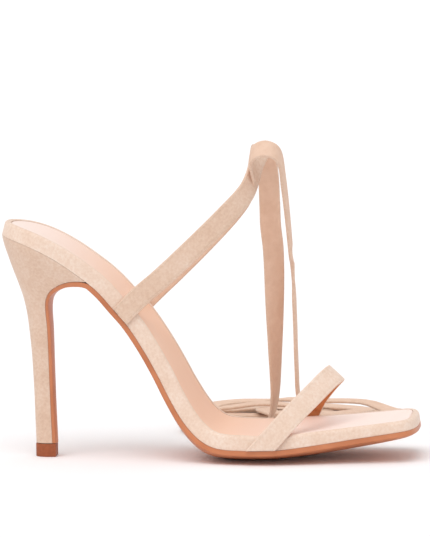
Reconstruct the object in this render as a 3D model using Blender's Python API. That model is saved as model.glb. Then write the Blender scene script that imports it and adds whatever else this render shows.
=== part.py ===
"""Lace-up heeled sandal, the right shoe: covered stiletto heel, square toe, one toe strap and two
waist straps that cross at the front of the ankle and run on as long flat ties.

Metres, +Z up. +X runs to the toe and -Y to the outer (lateral) side. The origin is the centre of
the heel tip's flat underside, on the floor.
"""

import math

import bmesh
import bpy
import numpy as np

# Driving sizes of the sole
SOLE_RUN = 0.2074
HEEL_OVERHANG = 0.0205
SEAT_HEIGHT = 0.1120
BALL_EDGE_HEIGHT = 0.0074
TOE_SPRING = 0.0094
BALL_WIDTH = 0.0715
HEEL_ROUND = 0.0240
TOE_ROUND = 0.0120
TOE_SQUARENESS = 3.2

# Driving sizes of the layers
GAP = 0.0003
FOOTBED_THICK = 0.0076
RIM_RADIUS = 0.0019
RIM_WIDTH = 0.0034
SOCK_THICK = 0.0009
HEEL_DISH = 0.0012
BALL_CROWN = 0.0022
OUTSOLE_EDGE = 0.0022
OUTSOLE_CROWN = 0.0030
OUTSOLE_WELT = 0.0004
ARCH_LEAN = 0.045
FLAP_THICK = 0.0012

# Driving sizes of the heel
TIP_HEIGHT = 0.0066
TIP_LIP = 0.0002
BREAST_FOOT = 0.0036
BREAST_TOP = 0.0262
STEM_HALF_WIDTH = 0.0046
SEAT_CORNER = 0.0500
HEEL_TOP_SHARE = 0.955
FLAP_CROWDING = 0.62

# Driving sizes of the straps and ties
STRAP_WIDTH = 0.0106
STRAP_THICK = 0.0016
TOE_STRAP_WIDTH = 0.0108
TOE_STRAP_THICK = 0.0014
CROSS_FORWARD = 0.1056
CROSS_HEIGHT = 0.1414
TOE_STRAP_FORWARD = 0.1452
TOE_STRAP_HEIGHT = 0.0415
OUTER_SEAT_SHARE = 0.300
INNER_SEAT_SHARE = 0.314
TOE_OUTER_SHARE = 0.698
TOE_INNER_SHARE = 0.756
TIE_LENGTH = 0.8400
TIE_STEP = 0.0110
LAYER = STRAP_THICK + 0.0006

# Fineness of the meshes
LINE_SAMPLES = 1600
CAP_STEPS = 9
WAIST_STEPS = 36
FLAP_STEPS = 24
HEEL_SECTIONS = 34
HEEL_SIDE_STEPS = 9
STRAP_STEP = 0.0037

# The sole line, the footbed's lower edge in the side view.
# Columns: share of the sole's run, share of the seat's rise, share of the toe spring.
SOLE_LINE = (
    (0.000, 1.000, 0.00),
    (0.058, 0.969, 0.00),
    (0.104, 0.932, 0.00),
    (0.152, 0.879, 0.00),
    (0.214, 0.792, 0.00),
    (0.247, 0.735, 0.00),
    (0.277, 0.669, 0.00),
    (0.313, 0.588, 0.00),
    (0.352, 0.473, 0.00),
    (0.387, 0.351, 0.00),
    (0.417, 0.236, 0.00),
    (0.451, 0.126, 0.00),
    (0.485, 0.053, 0.00),
    (0.524, 0.013, 0.00),
    (0.590, 0.000, 0.01),
    (0.668, 0.000, 0.03),
    (0.730, 0.000, 0.17),
    (0.795, 0.000, 0.36),
    (0.854, 0.000, 0.55),
    (0.916, 0.000, 0.74),
    (1.000, 0.000, 1.00),
)

# The footbed's outline before its ends are rounded.
# Columns: share of the sole line, outer and inner half width as shares of the ball's width.
OUTLINE = (
    (0.00, 0.330, 0.330),
    (0.10, 0.336, 0.336),
    (0.16, 0.336, 0.338),
    (0.23, 0.319, 0.327),
    (0.31, 0.308, 0.324),
    (0.40, 0.312, 0.336),
    (0.48, 0.333, 0.357),
    (0.55, 0.371, 0.392),
    (0.60, 0.425, 0.440),
    (0.65, 0.468, 0.484),
    (0.69, 0.487, 0.505),
    (0.73, 0.483, 0.510),
    (0.78, 0.455, 0.493),
    (0.84, 0.414, 0.452),
    (0.90, 0.380, 0.408),
    (0.96, 0.352, 0.375),
    (1.00, 0.338, 0.357),
)

# How the layers change along the sole.
# Columns: share of the sole line, share of the footbed's thickness, of the ball's crown,
# of the outsole's own crown, of the heel's dish and of the arch's lean.
LAYERS = (
    (0.00, 0.95, 0.00, 0.00, 1.00, 0.00),
    (0.12, 1.00, 0.00, 0.05, 1.00, 0.05),
    (0.20, 1.00, 0.08, 0.22, 0.85, 0.20),
    (0.30, 1.00, 0.26, 0.45, 0.60, 0.75),
    (0.40, 1.00, 0.38, 0.56, 0.50, 1.00),
    (0.50, 1.00, 0.54, 0.72, 0.50, 1.00),
    (0.56, 1.00, 0.80, 1.00, 0.50, 0.70),
    (0.60, 1.00, 1.00, 1.18, 0.50, 0.40),
    (0.65, 0.99, 1.00, 1.06, 0.50, 0.12),
    (0.69, 0.98, 1.00, 1.00, 0.50, 0.00),
    (0.78, 0.90, 0.95, 0.95, 0.45, 0.00),
    (0.90, 0.76, 0.85, 0.80, 0.35, 0.00),
    (1.00, 0.68, 0.60, 0.45, 0.30, 0.00),
)

# The back of the breast flap, from the heel tip up to where it joins the sole line.
# Columns: share of the reach forward, share of the rise.
FLAP_LINE = (
    (0.000, 0.000),
    (-0.031, 0.269),
    (-0.049, 0.484),
    (-0.066, 0.704),
    (-0.086, 0.793),
    (-0.090, 0.845),
    (-0.066, 0.892),
    (0.006, 0.934),
    (0.155, 0.973),
    (0.400, 1.006),
    (0.630, 1.019),
    (0.832, 1.018),
)

# The heel's sections, from the tip to the seat. Columns: the back's place forward of the
# tip's centre as a share of the overhang, its height as a share of the seat's height, the
# front's place as a share of the breast line, the half width as a share of the seat's.
HEEL = (
    (-0.239, 0.062, 0.000, 0.194),
    (-0.258, 0.180, 0.140, 0.196),
    (-0.279, 0.315, 0.295, 0.206),
    (-0.320, 0.465, 0.465, 0.232),
    (-0.374, 0.572, 0.585, 0.270),
    (-0.422, 0.645, 0.662, 0.315),
    (-0.505, 0.716, 0.722, 0.392),
    (-0.620, 0.780, 0.772, 0.500),
    (-0.742, 0.842, 0.820, 0.640),
    (-0.850, 0.902, 0.890, 0.800),
    (-0.930, 0.948, 0.950, 0.925),
    (-0.972, 0.981, 0.992, 0.985),
)

# The toe strap's middle line. Columns: share of the way forward from the seat of the row's own
# side to the strap's top, across as a share of that seat's distance from the middle, share of
# the rise from the seat to the top, then the direction that its outer face looks in.
TOE_STRAP = (
    (-0.300, -1.00, -0.335, 0.00, -1.00, 0.00),
    (0.000, -1.00, 0.000, 0.00, -1.00, 0.00),
    (0.182, -1.01, 0.199, 0.03, -1.00, 0.03),
    (0.312, -0.97, 0.346, 0.20, -0.94, 0.22),
    (0.470, -0.81, 0.516, 0.42, -0.80, 0.42),
    (0.688, -0.53, 0.727, 0.50, -0.70, 0.50),
    (0.906, -0.18, 0.935, 0.60, -0.45, 0.62),
    (1.000, 0.07, 1.000, 0.68, -0.02, 0.72),
    (0.968, 0.26, 0.961, 0.60, 0.42, 0.66),
    (0.760, 0.48, 0.816, 0.38, 0.76, 0.52),
    (0.427, 0.75, 0.556, 0.20, 0.90, 0.36),
    (0.240, 0.935, 0.352, 0.08, 0.98, 0.18),
    (0.115, 1.00, 0.189, 0.02, 1.00, 0.04),
    (0.000, 1.00, 0.032, 0.00, 1.00, 0.00),
    (-0.135, 1.00, -0.191, 0.00, 1.00, 0.00),
)

# The outer waist strap from the sole's edge, over the crossing, to its tail. Columns: share of
# the way forward from its seat to the crossing, across as a share of the seat's distance from
# the middle, share of the rise to the crossing, then the direction its outer face looks in.
OUTER_STRAP = (
    (-0.138, -1.00, -0.078, -0.05, -1.00, 0.00),
    (0.000, -1.00, 0.045, 0.00, -1.00, 0.00),
    (0.120, -1.00, 0.154, 0.04, -1.00, 0.03),
    (0.296, -1.00, 0.288, 0.08, -1.00, 0.05),
    (0.546, -0.94, 0.497, 0.20, -0.98, 0.08),
    (0.787, -0.72, 0.711, 0.48, -0.86, 0.12),
    (0.948, -0.33, 0.874, 0.78, -0.56, 0.22),
    (1.000, 0.03, 1.000, 0.88, -0.20, 0.42),
    (1.019, 0.38, 1.108, 0.74, 0.00, 0.67),
    (1.040, 0.78, 1.148, 0.44, 0.24, 0.86),
    (1.058, 1.15, 1.090, 0.22, 0.70, 0.68),
    (1.068, 1.38, 0.940, 0.10, 0.96, 0.26),
    (1.072, 1.50, 0.730, 0.00, 1.00, 0.10),
)

# The inner waist strap, which passes under the outer one, folds forward over itself and hangs
# down to the inner side. Columns as for the outer waist strap.
INNER_STRAP = (
    (-0.141, 1.00, -0.061, -0.05, 1.00, 0.00),
    (0.000, 1.00, 0.054, 0.00, 1.00, 0.00),
    (0.125, 1.00, 0.158, 0.04, 1.00, 0.03),
    (0.298, 0.98, 0.295, 0.10, 1.00, 0.05),
    (0.548, 0.89, 0.501, 0.24, 0.97, 0.08),
    (0.785, 0.66, 0.709, 0.52, 0.84, 0.12),
    (0.930, 0.30, 0.866, 0.80, 0.52, 0.22),
    (0.979, -0.03, 0.992, 0.94, 0.16, 0.28),
    (0.994, -0.36, 1.112, 1.00, 0.00, 0.00),
    (1.030, -0.50, 1.166, 0.71, 0.47, -0.53),
    (1.110, -0.56, 1.190, 0.00, 0.66, -0.75),
    (1.192, -0.50, 1.166, -0.71, 0.47, -0.53),
    (1.230, -0.34, 1.108, -1.00, 0.06, -0.05),
    (1.238, 0.06, 0.962, -1.00, 0.06, 0.00),
    (1.242, 0.48, 0.806, -1.00, 0.05, 0.00),
    (1.246, 0.86, 0.634, -1.00, 0.03, 0.00),
    (1.252, 1.18, 0.440, -1.00, 0.00, 0.00),
)

# The ties' routes past the straps' tails, first hanging and then lying on the floor.
# Columns: forward, across and up in millimetres. An up of zero lies on what is below it.
OUTER_TIE = (
    (111.4, 38.6, 98.0),
    (111.4, 42.0, 70.0),
    (111.0, 46.2, 44.0),
    (110.0, 51.0, 22.0),
    (105.6, 55.0, 8.0),
    (93.0, 58.0, 0.0),
    (78.0, 68.0, 0.0),
    (69.0, 86.0, 0.0),
    (77.0, 99.0, 0.0),
    (95.0, 98.0, 0.0),
    (115.0, 94.0, 0.0),
    (135.0, 97.0, 0.0),
    (151.0, 91.0, 0.0),
    (159.0, 74.0, 0.0),
    (150.0, 62.0, 0.0),
    (134.0, 63.0, 0.0),
    (120.0, 75.0, 0.0),
    (114.0, 95.0, 0.0),
    (102.0, 111.0, 0.0),
    (86.0, 116.0, 0.0),
    (72.0, 109.0, 0.0),
    (65.0, 125.0, 0.0),
    (80.0, 136.0, 0.0),
    (99.0, 132.0, 0.0),
    (120.0, 128.0, 0.0),
    (140.0, 130.0, 0.0),
    (156.0, 122.0, 0.0),
    (160.0, 103.0, 0.0),
    (146.0, 95.0, 0.0),
    (129.0, 103.0, 0.0),
    (121.0, 122.0, 0.0),
    (126.0, 138.0, 0.0),
    (142.0, 146.0, 0.0),
    (160.0, 147.0, 0.0),
    (167.0, 159.0, 0.0),
    (154.0, 169.0, 0.0),
    (135.0, 167.0, 0.0),
    (115.0, 169.0, 0.0),
    (96.0, 166.0, 0.0),
    (78.0, 168.0, 0.0),
    (66.0, 157.0, 0.0),
    (71.0, 143.0, 0.0),
    (88.0, 146.0, 0.0),
    (106.0, 151.0, 0.0),
    (124.0, 147.0, 0.0),
    (138.0, 136.0, 0.0),
)
INNER_TIE = (
    (121.4, 37.0, 84.0),
    (121.8, 40.4, 62.0),
    (122.0, 43.4, 40.0),
    (123.0, 46.0, 21.0),
    (127.4, 48.6, 8.0),
    (134.0, 51.0, 0.0),
    (147.0, 50.0, 0.0),
    (159.0, 58.0, 0.0),
    (167.0, 77.0, 0.0),
    (154.0, 87.0, 0.0),
    (137.0, 84.0, 0.0),
    (117.0, 81.0, 0.0),
    (99.0, 84.0, 0.0),
    (84.0, 78.0, 0.0),
    (67.0, 81.0, 0.0),
    (63.0, 100.0, 0.0),
    (74.0, 114.0, 0.0),
    (94.0, 114.0, 0.0),
    (115.0, 114.0, 0.0),
    (135.0, 115.0, 0.0),
    (146.0, 130.0, 0.0),
    (135.0, 144.0, 0.0),
    (117.0, 144.0, 0.0),
    (104.0, 136.0, 0.0),
    (99.0, 118.0, 0.0),
    (105.0, 101.0, 0.0),
    (122.0, 96.0, 0.0),
    (140.0, 101.0, 0.0),
    (156.0, 108.0, 0.0),
    (168.0, 120.0, 0.0),
    (165.0, 138.0, 0.0),
    (150.0, 150.0, 0.0),
    (131.0, 153.0, 0.0),
    (112.0, 150.0, 0.0),
    (95.0, 156.0, 0.0),
    (78.0, 153.0, 0.0),
    (67.0, 139.0, 0.0),
    (72.0, 123.0, 0.0),
    (89.0, 122.0, 0.0),
    (108.0, 124.0, 0.0),
    (127.0, 127.0, 0.0),
    (142.0, 120.0, 0.0),
    (151.0, 103.0, 0.0),
    (141.0, 89.0, 0.0),
    (123.0, 87.0, 0.0),
    (106.0, 90.0, 0.0),
    (90.0, 97.0, 0.0),
)

MILLIMETRE = 0.001


def clear_scene():
    """Remove whatever the scene starts with."""
    for thing in list(bpy.data.objects):
        bpy.data.objects.remove(thing, do_unlink=True)


def smooth_curve(points, samples):
    """A cubic curve through the points, with its tangent at each from that point's neighbours."""
    points = np.asarray(points, float)
    chords = np.linalg.norm(np.diff(points, axis=0), axis=1)
    knots = np.r_[0.0, np.cumsum(chords)]
    slopes = np.empty_like(points)
    slopes[1:-1] = (points[2:] - points[:-2]) / (knots[2:] - knots[:-2])[:, None]
    slopes[0] = (points[1] - points[0]) / chords[0]
    slopes[-1] = (points[-1] - points[-2]) / chords[-1]
    at = np.linspace(0.0, knots[-1], samples)
    piece = np.clip(np.searchsorted(knots, at, side="right") - 1, 0, len(points) - 2)
    width = chords[piece]
    x = (at - knots[piece]) / width
    start = (2 * x**3 - 3 * x**2 + 1)[:, None] * points[piece]
    leave = ((x**3 - 2 * x**2 + x) * width)[:, None] * slopes[piece]
    end = (-2 * x**3 + 3 * x**2)[:, None] * points[piece + 1]
    arrive = ((x**3 - x**2) * width)[:, None] * slopes[piece + 1]
    return start + leave + end + arrive


def lengths_along(points):
    """The length from the first point to each point."""
    return np.r_[0.0, np.cumsum(np.linalg.norm(np.diff(points, axis=0), axis=1))]


def read_along(points, at):
    """Places at the given lengths along a line of points."""
    lengths = lengths_along(points)
    return np.stack([np.interp(at, lengths, column) for column in points.T], axis=-1)


class SideLine:
    """A line in the side view that carries a sheet: a place on the sheet is given by the length
    along the line, the distance across (+Y) and the height above it. The sheet may lean, so
    that its inner side stands higher."""

    def __init__(self, points, lean=0.0):
        self.points = np.asarray(points, float)
        self.lean = np.broadcast_to(lean, len(self.points))
        self.lengths = lengths_along(self.points)
        self.length = self.lengths[-1]
        run = np.gradient(self.points, axis=0)
        self.run = run / np.linalg.norm(run, axis=1)[:, None]

    def place(self, along, across, height):
        """World places; heights stand at right angles to the line."""
        x = np.interp(along, self.lengths, self.points[:, 0])
        z = np.interp(along, self.lengths, self.points[:, 1])
        run_x = np.interp(along, self.lengths, self.run[:, 0])
        run_z = np.interp(along, self.lengths, self.run[:, 1])
        size = np.hypot(run_x, run_z)
        height = height + across * np.interp(along, self.lengths, self.lean)
        return np.stack(
            [x - height * run_z / size, across + 0 * along, z + height * run_x / size], axis=-1
        )

    def direction(self, along):
        """The unit direction along the line."""
        run = np.array([np.interp(along, self.lengths, self.run[:, i]) for i in (0, 1)])
        return run / np.linalg.norm(run)


def sole_line():
    """The footbed's lower edge in the side view, from the back of the heel to the toe."""
    rows = np.array(SOLE_LINE)
    forward = rows[:, 0] * SOLE_RUN - HEEL_OVERHANG
    up = BALL_EDGE_HEIGHT + rows[:, 1] * (SEAT_HEIGHT - BALL_EDGE_HEIGHT) + rows[:, 2] * TOE_SPRING
    points = smooth_curve(np.stack([forward, up], axis=-1), LINE_SAMPLES)
    lengths = lengths_along(points)
    return SideLine(points, ARCH_LEAN * table_value(LAYERS, 5, lengths / lengths[-1]))


def table_value(table, column, share):
    """A column of a table read smoothly at a share of the sole line."""
    rows = np.array(table)
    curve = smooth_curve(rows[:, [0, column]], LINE_SAMPLES)
    return np.interp(share, curve[:, 0], curve[:, 1])


SOLE = sole_line()


def plain_half_width(side, along):
    """Half width before the ends are rounded; side -1 is outer and 1 inner."""
    column = 1 if side < 0 else 2
    return BALL_WIDTH * table_value(OUTLINE, column, np.asarray(along) / SOLE.length)


def half_width(side, along):
    """Half width of the footbed: a half-round heel end and a soft square toe end."""
    along = np.asarray(along, float)
    heel = np.clip(1 - along / HEEL_ROUND, 0, 1)
    toe = np.clip(1 - (SOLE.length - along) / TOE_ROUND, 0, 1)
    heel_cap = np.sqrt(1 - heel**2)
    toe_cap = (1 - toe**TOE_SQUARENESS) ** (1 / TOE_SQUARENESS)
    return plain_half_width(side, along) * heel_cap * toe_cap


def stations():
    """Lengths along the sole line, closer together in the rounded ends."""
    turn = np.linspace(0, math.pi / 2, CAP_STEPS)
    heel = HEEL_ROUND * (1 - np.cos(turn))
    toe = SOLE.length - TOE_ROUND * (1 - np.sin(turn) ** (2 / TOE_SQUARENESS))
    waist = np.linspace(heel[-1], toe[0], WAIST_STEPS)
    return np.concatenate([heel, waist[1:-1], toe])


def spine(along):
    """Where the rings around a station shrink to, pulled in from the two rounded ends."""
    heel = 0.65 * HEEL_ROUND * np.exp(-along / HEEL_ROUND)
    toe = 0.7 * TOE_ROUND * np.exp(-(SOLE.length - along) / TOE_ROUND)
    return along + heel - toe


class Rings:
    """Rings of a sheet's outline: each shrinks towards a spine, by a share or by a distance."""

    def __init__(self, along, outer, inner, core):
        self.edge = np.concatenate(
            [np.stack([along, -outer], axis=-1), np.stack([along, inner], axis=-1)[::-1]]
        )
        centre = np.stack([core, 0 * core], axis=-1)
        self.core = np.concatenate([centre, centre[::-1]])
        self.reach = np.linalg.norm(self.edge - self.core, axis=1)

    def inset(self, distance):
        """The share left of each point's reach when the outline shrinks by a distance."""
        return 1 - distance / np.maximum(self.reach, 1e-6)

    def ring(self, share):
        """The ring at a share of the reach: length along and distance across."""
        share = np.broadcast_to(share, self.reach.shape)[:, None]
        places = self.core + (self.edge - self.core) * share
        return places[:, 0], places[:, 1]


def layer(column, along):
    """A column of the layer table at lengths along the sole line."""
    return table_value(LAYERS, column, np.clip(along / SOLE.length, 0, 1))


def footbed_under(along, share):
    """Height of the footbed's underside: crowned under the ball, level at its edge."""
    return -BALL_CROWN * layer(2, along) * (1 - share**2)


def footbed_top(along, share):
    """Height of the footbed's rim and of the dished surface inside it."""
    return FOOTBED_THICK * layer(1, along) - HEEL_DISH * layer(4, along) * (1 - share**2)


def new_material(name, colour, roughness):
    """A plain coloured surface."""
    material = bpy.data.materials.new(name)
    material.use_nodes = True
    shader = material.node_tree.nodes["Principled BSDF"]
    shader.inputs["Base Color"].default_value = (*colour, 1.0)
    shader.inputs["Roughness"].default_value = roughness
    shader.inputs["Metallic"].default_value = 0.0
    return material


def add_object(name, mesh, material):
    """Put a mesh into the scene under its part's name."""
    thing = bpy.data.objects.new(name, mesh)
    bpy.context.scene.collection.objects.link(thing)
    mesh.materials.append(material)
    return thing


def solid_from_rows(name, rows, material, closed_ends=False):
    """A closed solid from rows of points that each run once around it. The first and last rows
    meet themselves along a line, or are flat ends that get a face."""
    rows = [np.asarray(row, float) for row in rows]
    count = len(rows[0])
    form = bmesh.new()
    points = [[form.verts.new(place) for place in row] for row in rows]
    for lower, upper in zip(points, points[1:]):
        for i in range(count):
            j = (i + 1) % count
            form.faces.new((lower[i], lower[j], upper[j], upper[i]))
    if closed_ends:
        form.faces.new(points[0])
        form.faces.new(points[-1])
    bmesh.ops.remove_doubles(form, verts=form.verts, dist=1e-6)
    bmesh.ops.dissolve_degenerate(form, edges=form.edges, dist=1e-7)
    bmesh.ops.recalc_face_normals(form, faces=form.faces)
    mesh = bpy.data.meshes.new(name)
    form.to_mesh(mesh)
    form.free()
    mesh.shade_smooth()
    mesh.set_sharp_from_angle(angle=math.radians(35))
    return add_object(name, mesh, material)


def footbed_rings():
    """Rings of the footbed's outline."""
    along = stations()
    return Rings(along, half_width(-1, along), half_width(1, along), spine(along))


def make_footbed(material):
    """The covered footbed: level rim with a rounded edge around a shallow bed for the sock."""
    rings = footbed_rings()
    rows = []
    for share in (0.0, 0.4, 0.75, 1.0):
        along, across = rings.ring(share)
        rows.append(SOLE.place(along, across, footbed_under(along, share)))
    for turn in np.linspace(0, math.pi / 2, 4):
        share = rings.inset(RIM_RADIUS * (1 - math.cos(turn)))
        along, across = rings.ring(share)
        drop = RIM_RADIUS * (1 - math.sin(turn))
        rows.append(SOLE.place(along, across, footbed_top(along, 1.0) - drop))
    share = rings.inset(RIM_WIDTH - GAP)
    along, across = rings.ring(share)
    rows.append(SOLE.place(along, across, footbed_top(along, share)))
    bed = SOCK_THICK + GAP
    rows.append(SOLE.place(along, across, footbed_top(along, share) - bed))
    for part in (0.5, 0.0):
        along, across = rings.ring(share * part)
        rows.append(SOLE.place(along, across, footbed_top(along, share * part) - bed))
    return solid_from_rows("footbed", rows, material)


def make_sock(material):
    """The sock lining, a thin sheet that fills the footbed's shallow bed."""
    rings = footbed_rings()
    share = rings.inset(RIM_WIDTH)
    rows = []
    for part in (0.0, 0.5, 1.0):
        along, across = rings.ring(share * part)
        height = footbed_top(along, share * part) - SOCK_THICK
        rows.append(SOLE.place(along, across, height))
    for part in (1.0, 0.5, 0.0):
        along, across = rings.ring(share * part)
        rows.append(SOLE.place(along, across, footbed_top(along, share * part)))
    return solid_from_rows("insole_sock", rows, material)


def breast_line():
    """The back of the flap from the heel tip up, joined to the sole line at the breast."""
    foot_height = TIP_HEIGHT + GAP
    meet = np.interp(BREAST_TOP, SOLE.points[:, 0], SOLE.lengths)
    top = SOLE.place(np.array([meet]), 0.0, 0.0)[0]
    rows = np.array(FLAP_LINE)
    forward = BREAST_FOOT + rows[:, 0] * (top[0] - BREAST_FOOT)
    up = foot_height + rows[:, 1] * (top[2] - foot_height)
    flap = list(zip(forward, up))
    ahead = SOLE.place(np.array([meet, meet + 0.006, meet + 0.012]), 0.0, 0.0)
    curve = smooth_curve(flap + [(place[0], place[2]) for place in ahead], LINE_SAMPLES)
    reach = np.linalg.norm(curve - top[[0, 2]], axis=1).argmin()
    return curve[: reach + 1], meet


BREAST, BREAST_MEETS = breast_line()


def make_outsole(material):
    """The outsole: a crowned sheet under the footbed that turns down the front of the heel."""
    toe_part = SOLE.lengths > BREAST_MEETS
    flap_length = lengths_along(BREAST)[-1]
    flap_lean = SOLE.lean[toe_part][0] * (lengths_along(BREAST) / flap_length) ** 8
    line = SideLine(
        np.concatenate([BREAST, SOLE.points[toe_part]]),
        np.concatenate([flap_lean, SOLE.lean[toe_part]]),
    )
    shift = flap_length - BREAST_MEETS
    flap_at = np.linspace(0, 1, FLAP_STEPS + 1)[:-1] ** FLAP_CROWDING
    heel_rows = grown_heel_rows()
    stem = np.interp(flap_at / HEEL_TOP_SHARE, heel_rows[:, 2], heel_rows[:, 3])
    sole_at = stations()
    sole_at = sole_at[sole_at > BREAST_MEETS + 0.001]
    along = np.concatenate([flap_at * flap_length, sole_at + shift])
    widths = []
    for side in (-1, 1):
        waist = half_width(side, np.array([BREAST_MEETS])) + OUTSOLE_WELT
        flap_half = np.minimum(stem * seat_half_width(), waist)
        widths.append(np.concatenate([flap_half, half_width(side, sole_at) + OUTSOLE_WELT]))
    for width in widths:
        width[-1] = 0.0
    core = np.concatenate([flap_at * flap_length, spine(sole_at) + shift])
    rings = Rings(along, widths[0], widths[1], core)
    on_sole = np.maximum(along - shift, BREAST_MEETS)
    blend = np.clip((along / flap_length - 0.72) / 0.2, 0, 1)
    edge = FLAP_THICK + (OUTSOLE_EDGE - FLAP_THICK) * blend
    crown_under = OUTSOLE_CROWN * layer(3, on_sole) + BALL_CROWN * layer(2, on_sole)
    around = [np.concatenate([values, values[::-1]]) for values in (on_sole, edge, crown_under)]
    rows = []
    for share in (0.0, 0.4, 0.75, 1.0):
        at, across = rings.ring(share)
        rows.append(line.place(at, across, footbed_under(around[0], share) - GAP))
    for share in (1.0, 0.985, 0.9, 0.75, 0.5, 0.25, 0.0):
        at, across = rings.ring(share)
        height = -GAP - around[1] - around[2] * (1 - share**2)
        row = line.place(at, across, height)
        row[:, 2] = np.maximum(row[:, 2], 0.0)
        rows.append(row)
    return solid_from_rows("outsole", rows[::-1], material)


def seat_half_width():
    """Half the heel's width at the front corner of its seat."""
    return plain_half_width(-1, np.array([SEAT_CORNER]))[0]


def grown_heel_rows():
    """The heel's table read smoothly from the tip to the seat."""
    rows = np.array(HEEL)
    return smooth_curve(np.c_[rows[:, 1:2], rows], HEEL_SECTIONS)[:, 1:]


def heel_section(row, seat_blend):
    """One section of the heel, a D with its flat side at the breast. Near the seat it takes the
    sole line's curve and the footbed's outline."""
    back_x, back_z, front_share, width_share = row
    breast = SideLine(BREAST)
    trimmed = breast.length * HEEL_TOP_SHARE
    front = breast.place(np.array([front_share * trimmed]), 0.0, GAP)[0]
    back = np.array([back_x * HEEL_OVERHANG, 0.0, back_z * SEAT_HEIGHT])
    turn = np.linspace(0, 1, HEEL_SIDE_STEPS + 1)
    share = turn**1.6
    chord = back + (front - back) * share[:, None]
    seat_at = 0.0004 + share * (SEAT_CORNER - 0.0004)
    seat = SOLE.place(seat_at, 0.0, -GAP)
    seat_chord = seat[0] + (seat[-1] - seat[0]) * share[:, None]
    places = chord + (seat - seat_chord) * seat_blend
    round_part = 0.62
    stem_shape = np.sqrt(1 - np.clip(1 - share / round_part, 0, 1) ** 2)
    seat_half = seat_half_width()
    sides = []
    for side in (-1, 1):
        seat_shape = half_width(side, seat_at) / seat_half
        shape = stem_shape + (seat_shape - stem_shape) * seat_blend
        side_places = places.copy()
        side_places[:, 1] = side * width_share * seat_half * shape
        sides.append(side_places)
    return np.concatenate([sides[0], sides[1][::-1]])


def make_heel(material):
    """The covered heel: a D-shaped stem that flares into the seat."""
    grown = grown_heel_rows()
    climb = np.clip((grown[:, 1] - 0.62) / (0.981 - 0.62), 0, 1)
    sections = [heel_section(row, blend) for row, blend in zip(grown, climb**1.5)]
    seat_at = 0.0004 + np.linspace(0, 1, HEEL_SIDE_STEPS + 1) ** 1.6 * (SEAT_CORNER - 0.0004)
    seat = []
    for side in (-1, 1):
        half = half_width(side, seat_at)
        seat.append(SOLE.place(seat_at, side * half, -GAP))
    sections.append(np.concatenate([seat[0], seat[1][::-1]]))
    return solid_from_rows("heel", cap_rows(sections), material)


def cap_rows(sections):
    """The sections with each end closed by drawing the last one in to its middle line."""
    count = len(sections[0]) // 2
    ends = []
    for section in (sections[0], sections[-1]):
        middle = (section[:count] + section[count:][::-1]) / 2
        ends.append(np.concatenate([middle, middle[::-1]]))
    return [ends[0], *sections, ends[1]]


def make_heel_tip(material):
    """The top piece under the heel and the flap, with a flat underside on the floor."""
    first = heel_section(np.array(HEEL)[0], 0.0)
    breast = SideLine(BREAST)
    front = breast.place(np.array([0.0]), 0.0, -GAP - FLAP_THICK)[0]
    low_back = first[:, 0].min()
    stretch = (front[0] - low_back) / (first[:, 0].max() - low_back)
    outline = first.copy()
    outline[:, 0] = low_back + (first[:, 0] - low_back) * stretch
    middle = (outline[:, 0].min() + outline[:, 0].max()) / 2
    outward = 1 + TIP_LIP / STEM_HALF_WIDTH
    rows = []
    for height, swell in ((0.0, 1.0), (0.0006, outward), (TIP_HEIGHT, outward)):
        row = outline.copy()
        row[:, 0] = middle + (row[:, 0] - middle) * swell
        row[:, 1] = row[:, 1] * swell
        row[:, 2] = height
        rows.append(row)
    return solid_from_rows("heel_tip", cap_rows(rows), material)


def seat_place(side, share, thick):
    """Where a strap's middle stands beside the footbed, at the sole line's height."""
    along = share * SOLE.length
    place = SOLE.place(np.array([along]), 0.0, 0.0)[0]
    place[1] = side * (half_width(side, along) + GAP + thick / 2)
    return place


def strap_rows(table, outer_seat, inner_seat, top):
    """A strap's table as places and facings: each row starts from the seat of its own side."""
    rows = np.array(table)
    seat = np.where(rows[:, 1:2] < 0, outer_seat, inner_seat)
    rows[:, 0] = seat[:, 0] + rows[:, 0] * (top[0] - seat[:, 0])
    rows[:, 1] = rows[:, 1] * np.abs(seat[:, 1])
    rows[:, 2] = seat[:, 2] + rows[:, 2] * (top[1] - seat[:, 2])
    return rows


def clear_of_footbed(places, thick):
    """Places pushed outward where they would come nearer than the gap to the footbed's side."""
    line = SOLE.points[None, :, :] - places[:, None, [0, 2]]
    nearest = np.linalg.norm(line, axis=2).argmin(axis=1)
    along = SOLE.lengths[nearest]
    run = SOLE.run[nearest]
    away = places[:, [0, 2]] - SOLE.points[nearest]
    beside = away[:, 1] * run[:, 0] - away[:, 0] * run[:, 1] < 1.5 * FOOTBED_THICK
    side = np.sign(places[:, 1])
    half = np.where(side < 0, half_width(-1, along), half_width(1, along))
    wall = half + GAP + thick / 2
    pushed = places.copy()
    pushed[:, 1] = np.where(beside, side * np.maximum(np.abs(places[:, 1]), wall), places[:, 1])
    return pushed


def strap_frames(rows, step, thick):
    """Places along a strap with its width and face directions at each."""
    places = clear_of_footbed(smooth_curve(rows[:, :3], LINE_SAMPLES), thick)
    lengths = lengths_along(places)
    row_at = [lengths[np.linalg.norm(places - row, axis=1).argmin()] for row in rows[:, :3]]
    count = max(2, round(lengths[-1] / step))
    at = np.linspace(0, lengths[-1], count + 1)
    middle = read_along(places, at)
    run = np.gradient(middle, axis=0)
    run /= np.linalg.norm(run, axis=1)[:, None]
    facing = np.stack([np.interp(at, row_at, rows[:, i]) for i in (3, 4, 5)], axis=-1)
    facing -= np.sum(facing * run, axis=1)[:, None] * run
    facing /= np.linalg.norm(facing, axis=1)[:, None]
    return middle, np.cross(run, facing), facing


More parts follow.
